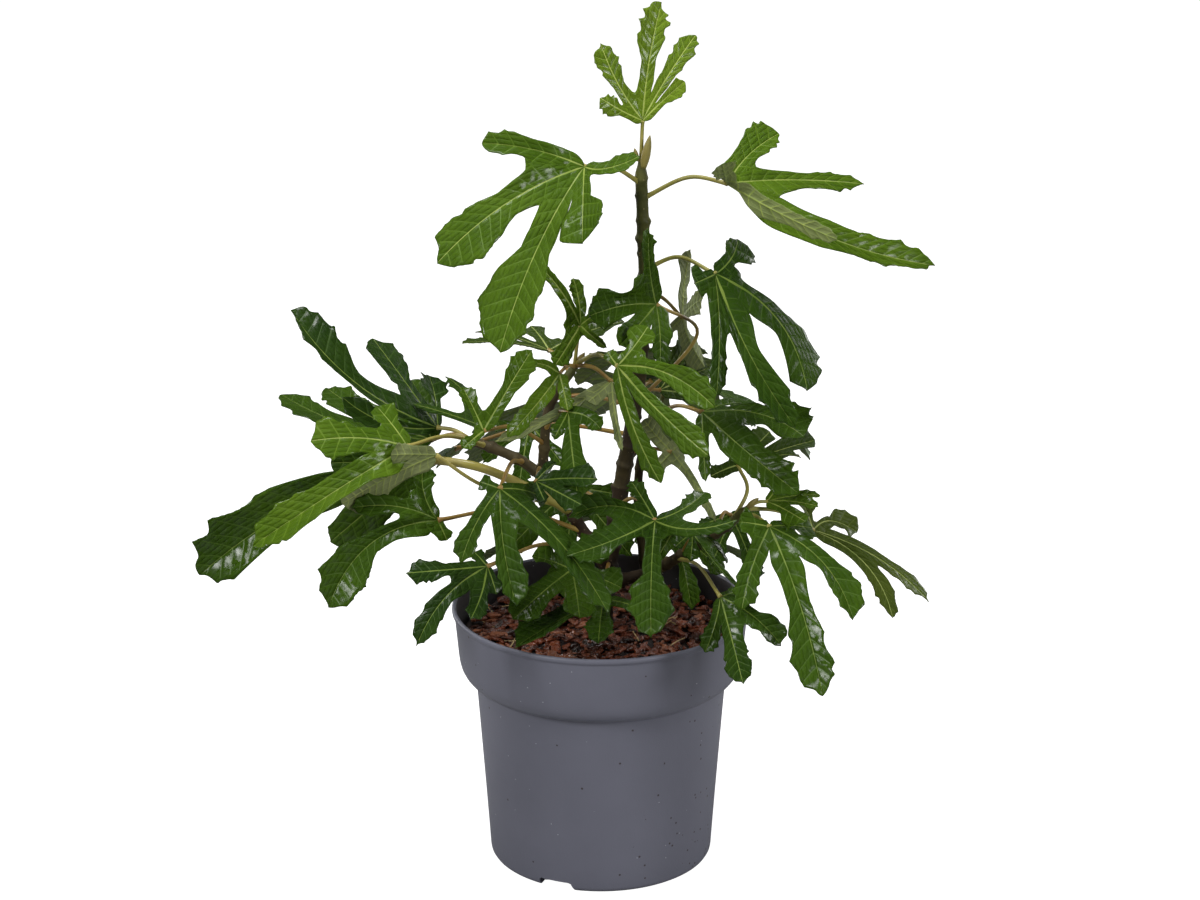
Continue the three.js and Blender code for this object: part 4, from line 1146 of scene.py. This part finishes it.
# %% Stalks
STALK_SIDES = 12
STALK_SAG = 0.1
SMOOTH_SKIN = 0.012
GREEN_STALKS = ["crown", "upper_left", "far_left", "left_bright", "left_high", "right_small",
                "front_right", "right_behind", "far_right", "centre_bright", "left_underside",
                "heart_tall", "low_right", "upper_right", "right_shoulder"]


def stalk_path(spec, count):
    limb, share = spec["on"]
    foot = LIMBS[limb]["path"][round(share * LIMB_STEPS)]
    joint = np.array(spec["joint"], float)
    middle = (foot + joint) / 2 + np.array([0, 0, STALK_SAG * np.linalg.norm(joint - foot)])
    return smooth_path([foot, np.array(spec.get("bend", middle), float), joint], count)


def stalk_mesh(spec, rng):
    path = stalk_path(spec, 26)
    share = np.linspace(0, 1, len(path))
    size = spec.get("stalk_size", min(1.0, 0.72 + 0.28 * max(spec["leaf"].length) / 110))
    foot, head = 0.95 * np.exp(-share / 0.07), 0.75 * np.exp(-(1 - share) / 0.035)
    radii = size * (1.55 + foot + head - 0.2 * share)
    wobble = 1 + rng.normal(0, SMOOTH_SKIN, (len(path), STALK_SIDES))
    return tube(path, radii, STALK_SIDES, wobble)


def stalk_finish(name, dark, light, blush):
    f = Finish.material(name, Specular_IOR_Level=0.5)
    patch, body = f.patches(60.0, 4.0, dark, light)
    blushed = f.over(f.mottle(11.0, 2.0), 0.5, body, blush)
    return f.paint(blushed, patch, (0.34, 0.5), patch, 0.3, 0.0003)


stalk_rng = np.random.default_rng(7)
stalks = {"green": [], "tan": []}
for name, spec in LEAVES.items():
    stalks["green" if name in GREEN_STALKS else "tan"].append(stalk_mesh(spec, stalk_rng))
green = stalk_finish("green_stalk", (0.24, 0.25, 0.045), (0.36, 0.34, 0.075), (0.30, 0.20, 0.05))
tan = stalk_finish("tan_stalk", (0.20, 0.13, 0.026), (0.35, 0.26, 0.055), (0.27, 0.11, 0.024))
add_piece("green_stalks", *joined(stalks["green"]), [green], "bright_leaf")
add_piece("tan_stalks", *joined(stalks["tan"]), [tan], "bark")

# %% [markdown]
# ## Wood
# Young fig wood is smooth, with a swollen ring and a leaf scar at each node. It is grey-brown
# low down and greener towards the tips. Each stretch between two nodes is a little different,
# so the stretches are dealt three finishes by how far up the limb they are.

# %% Bark finish
def bark_finish(name, dark, light, pore):
    f = Finish.material(name, Specular_IOR_Level=0.22)
    patch, body = f.patches(75.0, 5.0, dark, light)
    pores = f.specks(420.0, 0.28, 0.16)
    streak = f.math("MULTIPLY", f.mottle(260.0, 2.0), 0.5)
    height = f.math("ADD", streak, f.math("ADD", patch, pores))
    return f.paint(f.over(pores, 0.8, body, pore), patch, (0.5, 0.72), height, 0.6, 0.0006)


BARKS = [
    bark_finish("old_bark", (0.017, 0.010, 0.005), (0.052, 0.034, 0.019), (0.13, 0.09, 0.055)),
    bark_finish("young_bark", (0.030, 0.022, 0.010), (0.075, 0.057, 0.022), (0.17, 0.13, 0.06)),
    bark_finish("green_wood", (0.048, 0.052, 0.012), (0.105, 0.108, 0.026), (0.19, 0.16, 0.06)),
]
print("wood finishes:", len(BARKS))

# %% [markdown]
# A limb is a tube whose radius runs from its foot to its tip. At every node it swells into a
# ring, with a bulge on the side where a leaf once grew, and the bulges turn round the limb from
# node to node as leaves do. `LIMB_AGE` says which finish each end of a limb should have.

# %% Limbs
LIMB_SIDES = 26
RING_PITCH = 1.3
TIP_TAPER = 9
LEAF_TURN = 2.4
LIMB_AGE = {"leader": (-0.5, 2.3), "left_bough": (-0.2, 1.2), "upright_shoot": (0.6, 1.7),
            "right_bough": (0.4, 1.8), "second_stem": (0.2, 1.8), "back_bough": (0.4, 1.6)}


def node_places(run, rng):
    """How far up the limb its nodes are: closer and closer together towards the tip."""
    nodes = []
    at = rng.uniform(8, 16)
    while at < run:
        nodes.append(at)
        at += rng.uniform(14, 26) * (1 - 0.35 * at / run)
    return nodes


def limb_mesh(name, limb, rng):
    run = np.linalg.norm(np.diff(limb["path"], axis=0), axis=1).sum()
    count = int(run / RING_PITCH)
    path = smooth_path(limb["route"], count)
    share = np.linspace(0, 1, count)
    low, high = limb["radii"]
    radii = low + (high - low) * share + limb["flare"] * np.maximum(0, 1 - share / 0.1) ** 2
    radii *= 1 - 0.45 * ease((share * run - run + TIP_TAPER) / TIP_TAPER)
    nodes = node_places(run, rng)
    turns = round_turns(LIMB_SIDES)
    wobble = 1 + rng.normal(0, SMOOTH_SKIN, (count, LIMB_SIDES))
    for number, node in enumerate(nodes):
        off = share * run - node
        ring = 0.18 * np.exp(-(off / 1.3) ** 2) + 0.05 * np.exp(-(off / 5) ** 2)
        bearing = LEAF_TURN * number + rng.uniform(-0.4, 0.4)
        scar = np.exp(-((np.cos(turns - bearing) - 1) / 0.25) ** 2)
        bulge = 0.32 * np.exp(-((off + 1.5) / 2.4) ** 2)
        wobble += ring[:, None] + bulge[:, None] * scar[None, :]
    wobble += 0.03 * np.sin(3 * turns + 0.2 * np.arange(count)[:, None])
    stretch = np.searchsorted(nodes, share[:-1] * run)
    start, end = LIMB_AGE[name]
    age = start + (end - start) * np.array([0, *nodes])[stretch] / run
    age = np.round(age + rng.uniform(-0.25, 0.25, len(nodes) + 1)[stretch])
    finish = np.clip(age, 0, len(BARKS) - 1)
    wall = np.repeat(finish, LIMB_SIDES)
    chosen = np.concatenate([wall, wall, np.repeat(finish[[0, -1]], LIMB_SIDES)])
    return *tube(path, radii, LIMB_SIDES, wobble), chosen.astype(int)


wood_rng = np.random.default_rng(21)
for name, limb in LIMBS.items():
    points, faces, chosen = limb_mesh(name, limb, wood_rng)
    add_piece(name + "_wood", points, faces, BARKS, "bark", [name], chosen)

# %% [markdown]
# ## Buds
# A fig shoot ends in one pointed bud, wrapped in a green scale that later falls off and leaves
# a ring. The leader's bud leans aside, pushed by the stalk of the newest leaf, and a dry red
# scale still clings to the other side. A bud is a tube whose radius swells and runs out.

# %% Buds
BUD_SIDES = 12
BUD_REACH = 9
BUD_GIRTH = 0.75


def bud_mesh(foot, tip, girth, rng):
    path = smooth_path([foot, (foot + tip) / 2, tip], 14)
    share = np.linspace(0, 1, len(path))
    radii = girth * np.sin(math.pi * (0.22 + 0.78 * share)) ** 0.8 + 0.12
    creases = 1 + 0.05 * np.cos(3 * round_turns(BUD_SIDES) + 2 * share[:, None])
    grain = 1 + rng.normal(0, 0.01, (len(path), BUD_SIDES))
    return tube(path, radii, BUD_SIDES, creases * grain)


bud_rng = np.random.default_rng(29)
buds = []
for name, limb in LIMBS.items():
    end = limb["path"][-1]
    if name == "leader":
        buds.append(bud_mesh(end + [1.5, -1, -4], end + [6, -4, 19], 3.0, bud_rng))
        buds.append(bud_mesh(end + [-2.5, -2, 1], end + [-4.5, -4, 10], 1.5, bud_rng))
    else:
        ahead = unit(end - limb["path"][-8])
        girth = BUD_GIRTH * limb["radii"][1]
        buds.append(bud_mesh(end - 2 * ahead, end + BUD_REACH * ahead, girth, bud_rng))
bud_scale = stalk_finish("bud_scale", (0.17, 0.17, 0.035), (0.27, 0.26, 0.06), (0.24, 0.10, 0.03))
add_piece("buds", *joined(buds), [bud_scale], "bark")

# %% [markdown]
# ## The pot
# The pot is a thin moulded shell: a rolled lip, a stepped collar that lets pots stack, a body
# that narrows to the foot, and notches and holes that let water out. A lathe suits all of it
# except the notches and holes, which are cut with booleans. Their rims are then marked sharp, so
# that smooth shading doesn't smear them over the wall.

# %% Lathe
POT_SIDES = 168
POT_PROFILE = [
    (0, 0), (29, 0), (30, 0.3), (30.8, 1), (33, 5), (50, 5.2), (67, 5), (69.2, 1), (70, 0.3),
    (71, 0), (75, 0), (76.6, 0.35), (78.1, 1.3), (79, 2.8), (79.3, 4.5), (80.3, 20), (82, 45),
    (83.8, 70), (85.6, 95), (87.3, 118), (88.4, 132.5), (88.9, 134.2), (89.9, 134.9),
    (91.6, 135.4), (93.4, 136.3), (95.4, 138), (97.3, 140.4), (98.9, 143.6), (99.9, 147.5),
    (100.5, 152), (101.6, 164), (103.1, 180.5), (103.3, 181.9), (104.1, 182.6), (104.8, 183.3),
    (105.0, 184.4), (104.9, 185.5), (104.3, 186.2), (103.3, 186.5), (102.4, 186.2),
    (101.9, 185.4), (101.3, 182), (99.6, 164), (98.5, 152), (97.9, 147.8), (96.9, 144.6),
    (95.2, 141.8), (92.4, 139.0), (88.6, 136.6), (87, 134), (86.4, 130), (77.2, 12), (76.4, 7.6),
    (75, 7.1), (50, 7), (0, 7),
]
INNER_LIP = (101.9, 185.4)


def circles(radius, height, sides):
    """Rings of points round the upright axis, one for every radius and height."""
    turns = round_turns(sides)
    x, y = np.outer(radius, np.cos(turns)), np.outer(radius, np.sin(turns))
    return np.stack([x, y, np.broadcast_to(height, x.shape)], -1).reshape(-1, 3)


def lathe(profile, sides):
    (_, low), *inner, (_, high) = profile
    radius, height = np.array(inner, float).T
    walls = circles(radius, height[:, None], sides)
    return np.concatenate([walls, [[0, 0, low], [0, 0, high]]]), closed_rings(len(inner), sides)


print("points round the pot's profile:", len(POT_PROFILE))

# %% [markdown]
# The plastic is matt, with a fine grain from the mould. Watering splashes soil on the low part
# of one side, so the specks of soil are dealt out by place: the further to that side and the
# lower, the more there are. Chalky specks lie all over.

# %% Pot finish
SPLASH_SLOPE = -0.35


def pot_finish(name, dark, light):
    f = Finish.material(name, Specular_IOR_Level=0.45)
    patch, body = f.patches(9.0, 5.0, dark, light)
    at = f.add("ShaderNodeTexCoord").outputs["Object"]
    x, _, z = f.add("ShaderNodeSeparateXYZ", {0: at}).outputs
    lowered = f.math("MULTIPLY_ADD", z, SPLASH_SLOPE, x)
    splashed = f.math("MULTIPLY", f.ramp(lowered, 0.0, 0.06, 0.02, 0.9), f.mottle(16.0, 2.0))
    soiled = f.over(f.specks(230.0, 0.19, splashed), 0.8, body, (0.03, 0.018, 0.011))
    chalked = f.over(f.specks(200.0, 0.08, 0.12), 0.8, soiled, (0.45, 0.47, 0.5))
    return f.paint(chalked, patch, (0.42, 0.55), f.mottle(900.0, 2.0), 0.12, 0.0002)


plastic = pot_finish("pot_plastic", (0.127, 0.130, 0.166), (0.158, 0.161, 0.204))
# A much darker copy of the plastic: painted shade for the inside of the pot.
inside_shade = pot_finish("painted_shade_inside", (0.020, 0.017, 0.017), (0.055, 0.052, 0.058))
print("pot finishes:", plastic.name, inside_shade.name)

# %% [markdown]
# The pot is turned first and cut afterwards. Each cutter is a closed mesh of its own: a block
# with one sloped end for a notch, and a short tube for a hole.

# %% Cutters
NOTCHES, FIRST_NOTCH = 3, -112
NOTCH_FROM, NOTCH_TO = 68.5, 90
NOTCH_OUTLINE = [(-15, -8), (-15, 5.6), (-14, 6.5), (7, 6.5), (9, 5.8), (16, -8)]
HOLES, HOLE_CIRCLE, HOLE_RADIUS = 6, 48.5, 6


def cut(piece, points, faces):
    """Subtracts a closed mesh from a piece for good."""
    mesh = bpy.data.meshes.new("cutter")
    mesh.from_pydata([tuple(p) for p in np.asarray(points) * MM], [], [tuple(f) for f in faces])
    cutter = stand("cutter", mesh)
    boolean = piece.modifiers.new("cut", "BOOLEAN")
    boolean.operation, boolean.solver, boolean.object = "DIFFERENCE", "EXACT", cutter
    bpy.context.view_layer.update()
    whole = piece.evaluated_get(bpy.context.evaluated_depsgraph_get())
    result = bpy.data.meshes.new_from_object(whole)
    piece.modifiers.clear()
    piece.data = result
    bpy.data.objects.remove(cutter)


def notch(bearing):
    """A block through the foot ring, upright at one end and sloped at the other."""
    turn = np.array([[math.cos(bearing), -math.sin(bearing)],
                     [math.sin(bearing), math.cos(bearing)]])
    points = [(*(turn @ np.array([out, along])), up)
              for out in (NOTCH_FROM, NOTCH_TO) for along, up in NOTCH_OUTLINE]
    n = len(NOTCH_OUTLINE)
    faces = [tuple(range(n)), tuple(range(2 * n - 1, n - 1, -1))]
    faces += [(k, k + n, (k + 1) % n + n, (k + 1) % n) for k in range(n)]
    return points, faces


def hole(bearing):
    middle = HOLE_CIRCLE * np.array([math.cos(bearing), math.sin(bearing), 0])
    return tube([middle - [0, 0, 3], middle, middle + [0, 0, 12]], [HOLE_RADIUS] * 3, 24)


print("cutters:", NOTCHES, "notches and", HOLES, "holes")

# %% [markdown]
# Every face of the wall past the inner lip is inside, and gets the dark finish, which is painted
# shade: the same plastic, darkened as shade falls inside the pot. So does the fan of faces that
# closes the pot's floor.

# %% Pot shell
SHARP_FROM = math.radians(50)
inside = np.arange(len(POT_PROFILE) - 3) >= POT_PROFILE.index(INNER_LIP) - 1
wall = np.repeat(inside, POT_SIDES)
skin = np.concatenate([wall, wall, np.repeat([0, 1], POT_SIDES)]).astype(int)
shell = lathe(POT_PROFILE, POT_SIDES)
# The second finish paints the shade that falls inside the pot.
pot = add_piece("pot_shell", *shell, [plastic, inside_shade], "pot_plastic", ["pot"], skin)
for number in range(NOTCHES):
    cut(pot, *notch(math.radians(FIRST_NOTCH + 360 / NOTCHES * number)))
for number in range(HOLES):
    cut(pot, *hole(math.radians(360 / HOLES * number)))
pot.data.set_sharp_from_angle(angle=SHARP_FROM)
print("pot faces after cutting:", len(pot.data.polygons))

# %% [markdown]
# ## Bark mulch
# The mulch is a heap of bark chips, not a textured disc: the chips' outlines and the dark gaps
# between them are what one sees. A bumpy bed lies underneath, so no gap shows through to nothing.
# Its near-black colour is painted shade for the gaps between the chips.
# It is a disc of rings, with its last ring at the level of the compost.

# %% Mulch bed
BED_EDGE = 96.4
BED_RINGS, BED_SIDES = 30, 72
BED_LEVEL = 166


def bed_height(x, y):
    roll = np.sin(0.11 * x + 1) * np.cos(0.13 * y) + 0.4 * np.sin(0.23 * (x - y))
    return BED_LEVEL + 2.2 * roll


def mulch_bed(rng):
    radius = np.linspace(0, BED_EDGE, BED_RINGS + 1)[1:]
    top = circles(radius, 0.0, BED_SIDES)
    top[:, 2] = bed_height(top[:, 0], top[:, 1]) + rng.normal(0, 0.7, len(top))
    foot = circles([BED_EDGE], SOIL, BED_SIDES)
    points = np.concatenate([top, foot, [[0, 0, bed_height(0, 0)], [0, 0, SOIL]]])
    return points, closed_rings(BED_RINGS + 1, BED_SIDES)[:, ::-1]


def chip_finish(name, dark, light, roughness):
    f = Finish.material(name, Specular_IOR_Level=0.5)
    patch, body = f.patches(120.0, 6.0, dark, light)
    fibre = f.mottle(420.0, 3.0)
    ends = (roughness - 0.1, roughness + 0.15)
    return f.paint(body, fibre, ends, f.math("ADD", patch, fibre), 0.7, 0.0008)


# Near-black, as painted shade for the gaps between the chips.
gap_shade_finish = chip_finish("mulch_gap_shade", (0.005, 0.002, 0.001), (0.018, 0.006, 0.003), 0.7)
bed = mulch_bed(np.random.default_rng(3))
add_piece("mulch_bed", *bed, [gap_shade_finish], "bark_mulch", ["bark_mulch"])

# %% [markdown]
# Each chip is a flake with an uneven outline and rounded edges: four uneven rings, one above the
# other. `spun` then turns it about all three axes.

# %% Bark chip
CHIP_SIDES = 8
CHIP_LAYERS = ((-0.5, 0.86), (0.0, 1.0), (0.38, 0.95), (0.5, 0.80))


def chip(rng, size):
    """A flake of bark about size mm long, lying flat round the origin."""
    turns = round_turns(CHIP_SIDES) + rng.uniform(-0.25, 0.25, CHIP_SIDES)
    slim = rng.uniform(0.32, 0.62)
    reach = rng.uniform(0.75, 1.15, CHIP_SIDES)
    thick = rng.uniform(0.9, 2.3)
    outline = np.stack([np.cos(turns) * reach, slim * np.sin(turns) * reach], 1) * size / 2
    layers = []
    for level, shrink in CHIP_LAYERS:
        z = level * thick + rng.normal(0, 0.12 * thick, CHIP_SIDES)
        layers.append(np.column_stack([outline * shrink, z]))
    points = np.concatenate([*layers, [[0, 0, -0.5 * thick], [0, 0, 0.55 * thick]]])
    return points, closed_rings(len(CHIP_LAYERS), CHIP_SIDES)


def spun(points, heading, tilt, roll):
    ch, sh, ct, st, cr, sr = (f(v) for v in (heading, tilt, roll) for f in (math.cos, math.sin))
    about_z = np.array([[ch, -sh, 0], [sh, ch, 0], [0, 0, 1]])
    about_y = np.array([[ct, 0, st], [0, 1, 0], [-st, 0, ct]])
    about_x = np.array([[1, 0, 0], [0, cr, -sr], [0, sr, cr]])
    return points @ (about_z @ about_y @ about_x).T


print("points of a chip:", CHIP_SIDES * len(CHIP_LAYERS) + 2)

# %% [markdown]
# Chips are dropped on the bed one after another, flat or tipped, and later ones lie a little
# higher. Each draws one of four finishes. Their faces stay flat-shaded, because broken bark has
# hard facets.

# %% Mulch chips
CHIPS = 1500
CHIP_REACH, CHIP_LIFT = 95.5, 0.8
HEAP = 3.6
CHIP_FINISHES = [
    chip_finish("russet_chip", (0.060, 0.013, 0.004), (0.210, 0.050, 0.018), 0.34),
    chip_finish("brown_chip", (0.028, 0.007, 0.003), (0.105, 0.026, 0.010), 0.32),
    chip_finish("pale_chip", (0.130, 0.038, 0.014), (0.300, 0.100, 0.042), 0.42),
    chip_finish("dark_chip", (0.006, 0.002, 0.001), (0.030, 0.009, 0.004), 0.30),
]
CHIP_SHARES = [0.40, 0.32, 0.18, 0.10]


def scattered_chips(count, rng):
    parts = []
    for number in range(count):
        size = rng.uniform(5.5, 15) * (1.0 if rng.random() < 0.75 else 0.6)
        points, faces = chip(rng, size)
        heading, tilt, roll = rng.uniform(0, FULL_TURN), rng.normal(0, 0.32), rng.normal(0, 0.35)
        points = spun(points, heading, tilt, roll)
        radius = (CHIP_REACH - 0.45 * size) * math.sqrt(rng.random())
        turn = rng.uniform(0, FULL_TURN)
        x, y = radius * math.cos(turn), radius * math.sin(turn)
        z = bed_height(x, y) + CHIP_LIFT + HEAP * (number / count)
        tone = rng.choice(len(CHIP_SHARES), p=CHIP_SHARES)
        parts.append((points + [x, y, z], faces, np.full(len(faces), tone)))
    return joined(parts)


points, faces, chosen = scattered_chips(CHIPS, np.random.default_rng(11))
chips = add_piece("mulch_chips", points, faces, CHIP_FINISHES, "bark_mulch", (), chosen)
chips.data.polygons.foreach_set("use_smooth", np.zeros(len(chips.data.polygons), bool))

# %% [markdown]
# A few dry straws lie on top of any mulch. Each is a thin bent tube, dropped flat on the chips.

# %% Straws
STRAWS = 16
STRAW_RINGS, STRAW_SIDES = 6, 6
STRAW_REACH, STRAW_LIFT = 88, 5.6


def straw(rng):
    length = rng.uniform(9, 24)
    turn, radius = rng.uniform(0, FULL_TURN), STRAW_REACH * math.sqrt(rng.random())
    x, y = radius * math.cos(turn), radius * math.sin(turn)
    run = np.linspace(-0.5, 0.5, STRAW_RINGS)[:, None] * length
    heading = rng.uniform(0, FULL_TURN)
    bow = rng.uniform(-2, 2) * (1 - (run / length * 2) ** 2)
    path = np.concatenate([run * math.cos(heading) - bow * math.sin(heading) + x,
                           run * math.sin(heading) + bow * math.cos(heading) + y,
                           bed_height(x, y) + STRAW_LIFT + 0.06 * run * rng.normal()], axis=1)
    return tube(path, np.full(STRAW_RINGS, rng.uniform(0.3, 0.55)), STRAW_SIDES)


straw_rng = np.random.default_rng(17)
straws = joined([straw(straw_rng) for _ in range(STRAWS)])
straw_finish = rib_finish("straw", (0.30, 0.20, 0.09), (0.48, 0.36, 0.18), 0.6)
add_piece("mulch_straws", *straws, [straw_finish], "bark_mulch")

# %% [markdown]
# ## Compost
# The compost is hidden under the mulch, except through the drainage holes. Its CAD solid has the
# right shape, so it stays, with a crumbly dark finish in place of its plain one.

# %% Compost
def compost_finish():
    f = Finish.material("compost", Specular_IOR_Level=0.3)
    crumb, body = f.patches(240.0, 8.0, (0.012, 0.007, 0.004), (0.045, 0.028, 0.017))
    fibre = f.specks(300.0, 0.22, 0.2)
    fibrous = f.mix(fibre, body, (0.12, 0.075, 0.04))
    return f.paint(fibrous, crumb, (0.8, 0.95), f.math("ADD", crumb, fibre), 0.9, 0.0015)


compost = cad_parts["compost"]
compost.material_slots[0].material = compost_finish()
print("compost keeps its solid:", compost.name)

# %% [markdown]
# ## Floor and light
# The floor is pale and plain. It is lifted to white where the camera sees it directly, and stays
# a quiet grey for the light that it throws back, or it would wash out the undersides of the
# leaves.

# %% Floor
FLOOR_REACH = 12.0


def floor_finish():
    f = Finish.material("studio_floor", Roughness=0.8, Emission_Color=(1, 1, 1))
    body = f.mix(f.mottle(3.0, 2.0), (0.30, 0.30, 0.30), (0.32, 0.32, 0.32))
    f.put(body, f.shader["Base Color"])
    seen = f.add("ShaderNodeLightPath").outputs["Is Camera Ray"]
    f.put(f.ramp(seen, 0, 1, 0, 1.0), f.shader["Emission Strength"])
    return f.made


floor_mesh = bpy.data.meshes.new("studio_floor")
corners = [(x * FLOOR_REACH, y * FLOOR_REACH, 0) for x, y in ((-1, -1), (1, -1), (1, 1), (-1, 1))]
floor_mesh.from_pydata(corners, [], [(0, 1, 2, 3)])
floor_mesh.materials.append(floor_finish())
floor = stand("studio_floor", floor_mesh)
floor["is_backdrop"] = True
print("floor reaches", FLOOR_REACH, "metres each way")

# %% [markdown]
# A glossy leaf shows its light as much as its colour. Two large soft panels in front and one
# overhead give long soft highlights that run down the leaves. Two weaker panels behind do the
# same for whoever looks at the back, and the white room fills the shadows. Places and sizes are
# in metres here, and powers in watts.

# %% Light
CROWN_MIDDLE = (0, 0, 0.35)
PANELS = {
    "overhead_panel": ((-0.15, 0.1, 2.2), (0.75, 0.75), 29),
    "left_panel": ((-1.7, -1.6, 1.7), (0.7, 0.9), 42),
    "right_panel": ((1.8, -1.6, 1.2), (0.7, 0.9), 30),
    "back_left_panel": ((-1.7, 1.8, 0.9), (0.9, 0.9), 22),
    "back_right_panel": ((1.8, 1.7, 0.9), (0.9, 0.9), 18),
}
ROOM_LIGHT = 0.07

for name, (place, size, power) in PANELS.items():
    light = bpy.data.lights.new(name, "AREA")
    light.shape = "RECTANGLE"
    light.size, light.size_y = size
    light.energy = power
    panel = stand(name, light)
    panel.location = place
    x, y, z = np.array(CROWN_MIDDLE, float) - np.array(place, float)
    panel.rotation_euler = (math.atan2(math.hypot(x, y), -z), 0, math.atan2(-x, y))

world = bpy.data.worlds.new("pale_room")
world.use_nodes = True
room = Finish(world.node_tree)
background = world.node_tree.nodes["Background"].inputs
room.put((1, 1, 1), background["Color"])
seen = room.add("ShaderNodeLightPath").outputs["Is Camera Ray"]
room.put(room.ramp(seen, 0, 1, ROOM_LIGHT, 1.0), background["Strength"])
bpy.context.scene.world = world
bpy.context.scene.view_settings.view_transform = "Standard"
print("panels:", ", ".join(PANELS))

# %% [markdown]
# ## Sizes
# The boxes of the CAD model and of the visual model are both printed, corner by corner.

# %% Sizes and finish
visual_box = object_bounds()
boxes = [[[float(value) for value in corner] for corner in box] for box in (cad_box, visual_box)]
for cad_corner, visual_corner in zip(*boxes):
    print("cad", [round(v, 4) for v in cad_corner], "visual", [round(v, 4) for v in visual_corner])
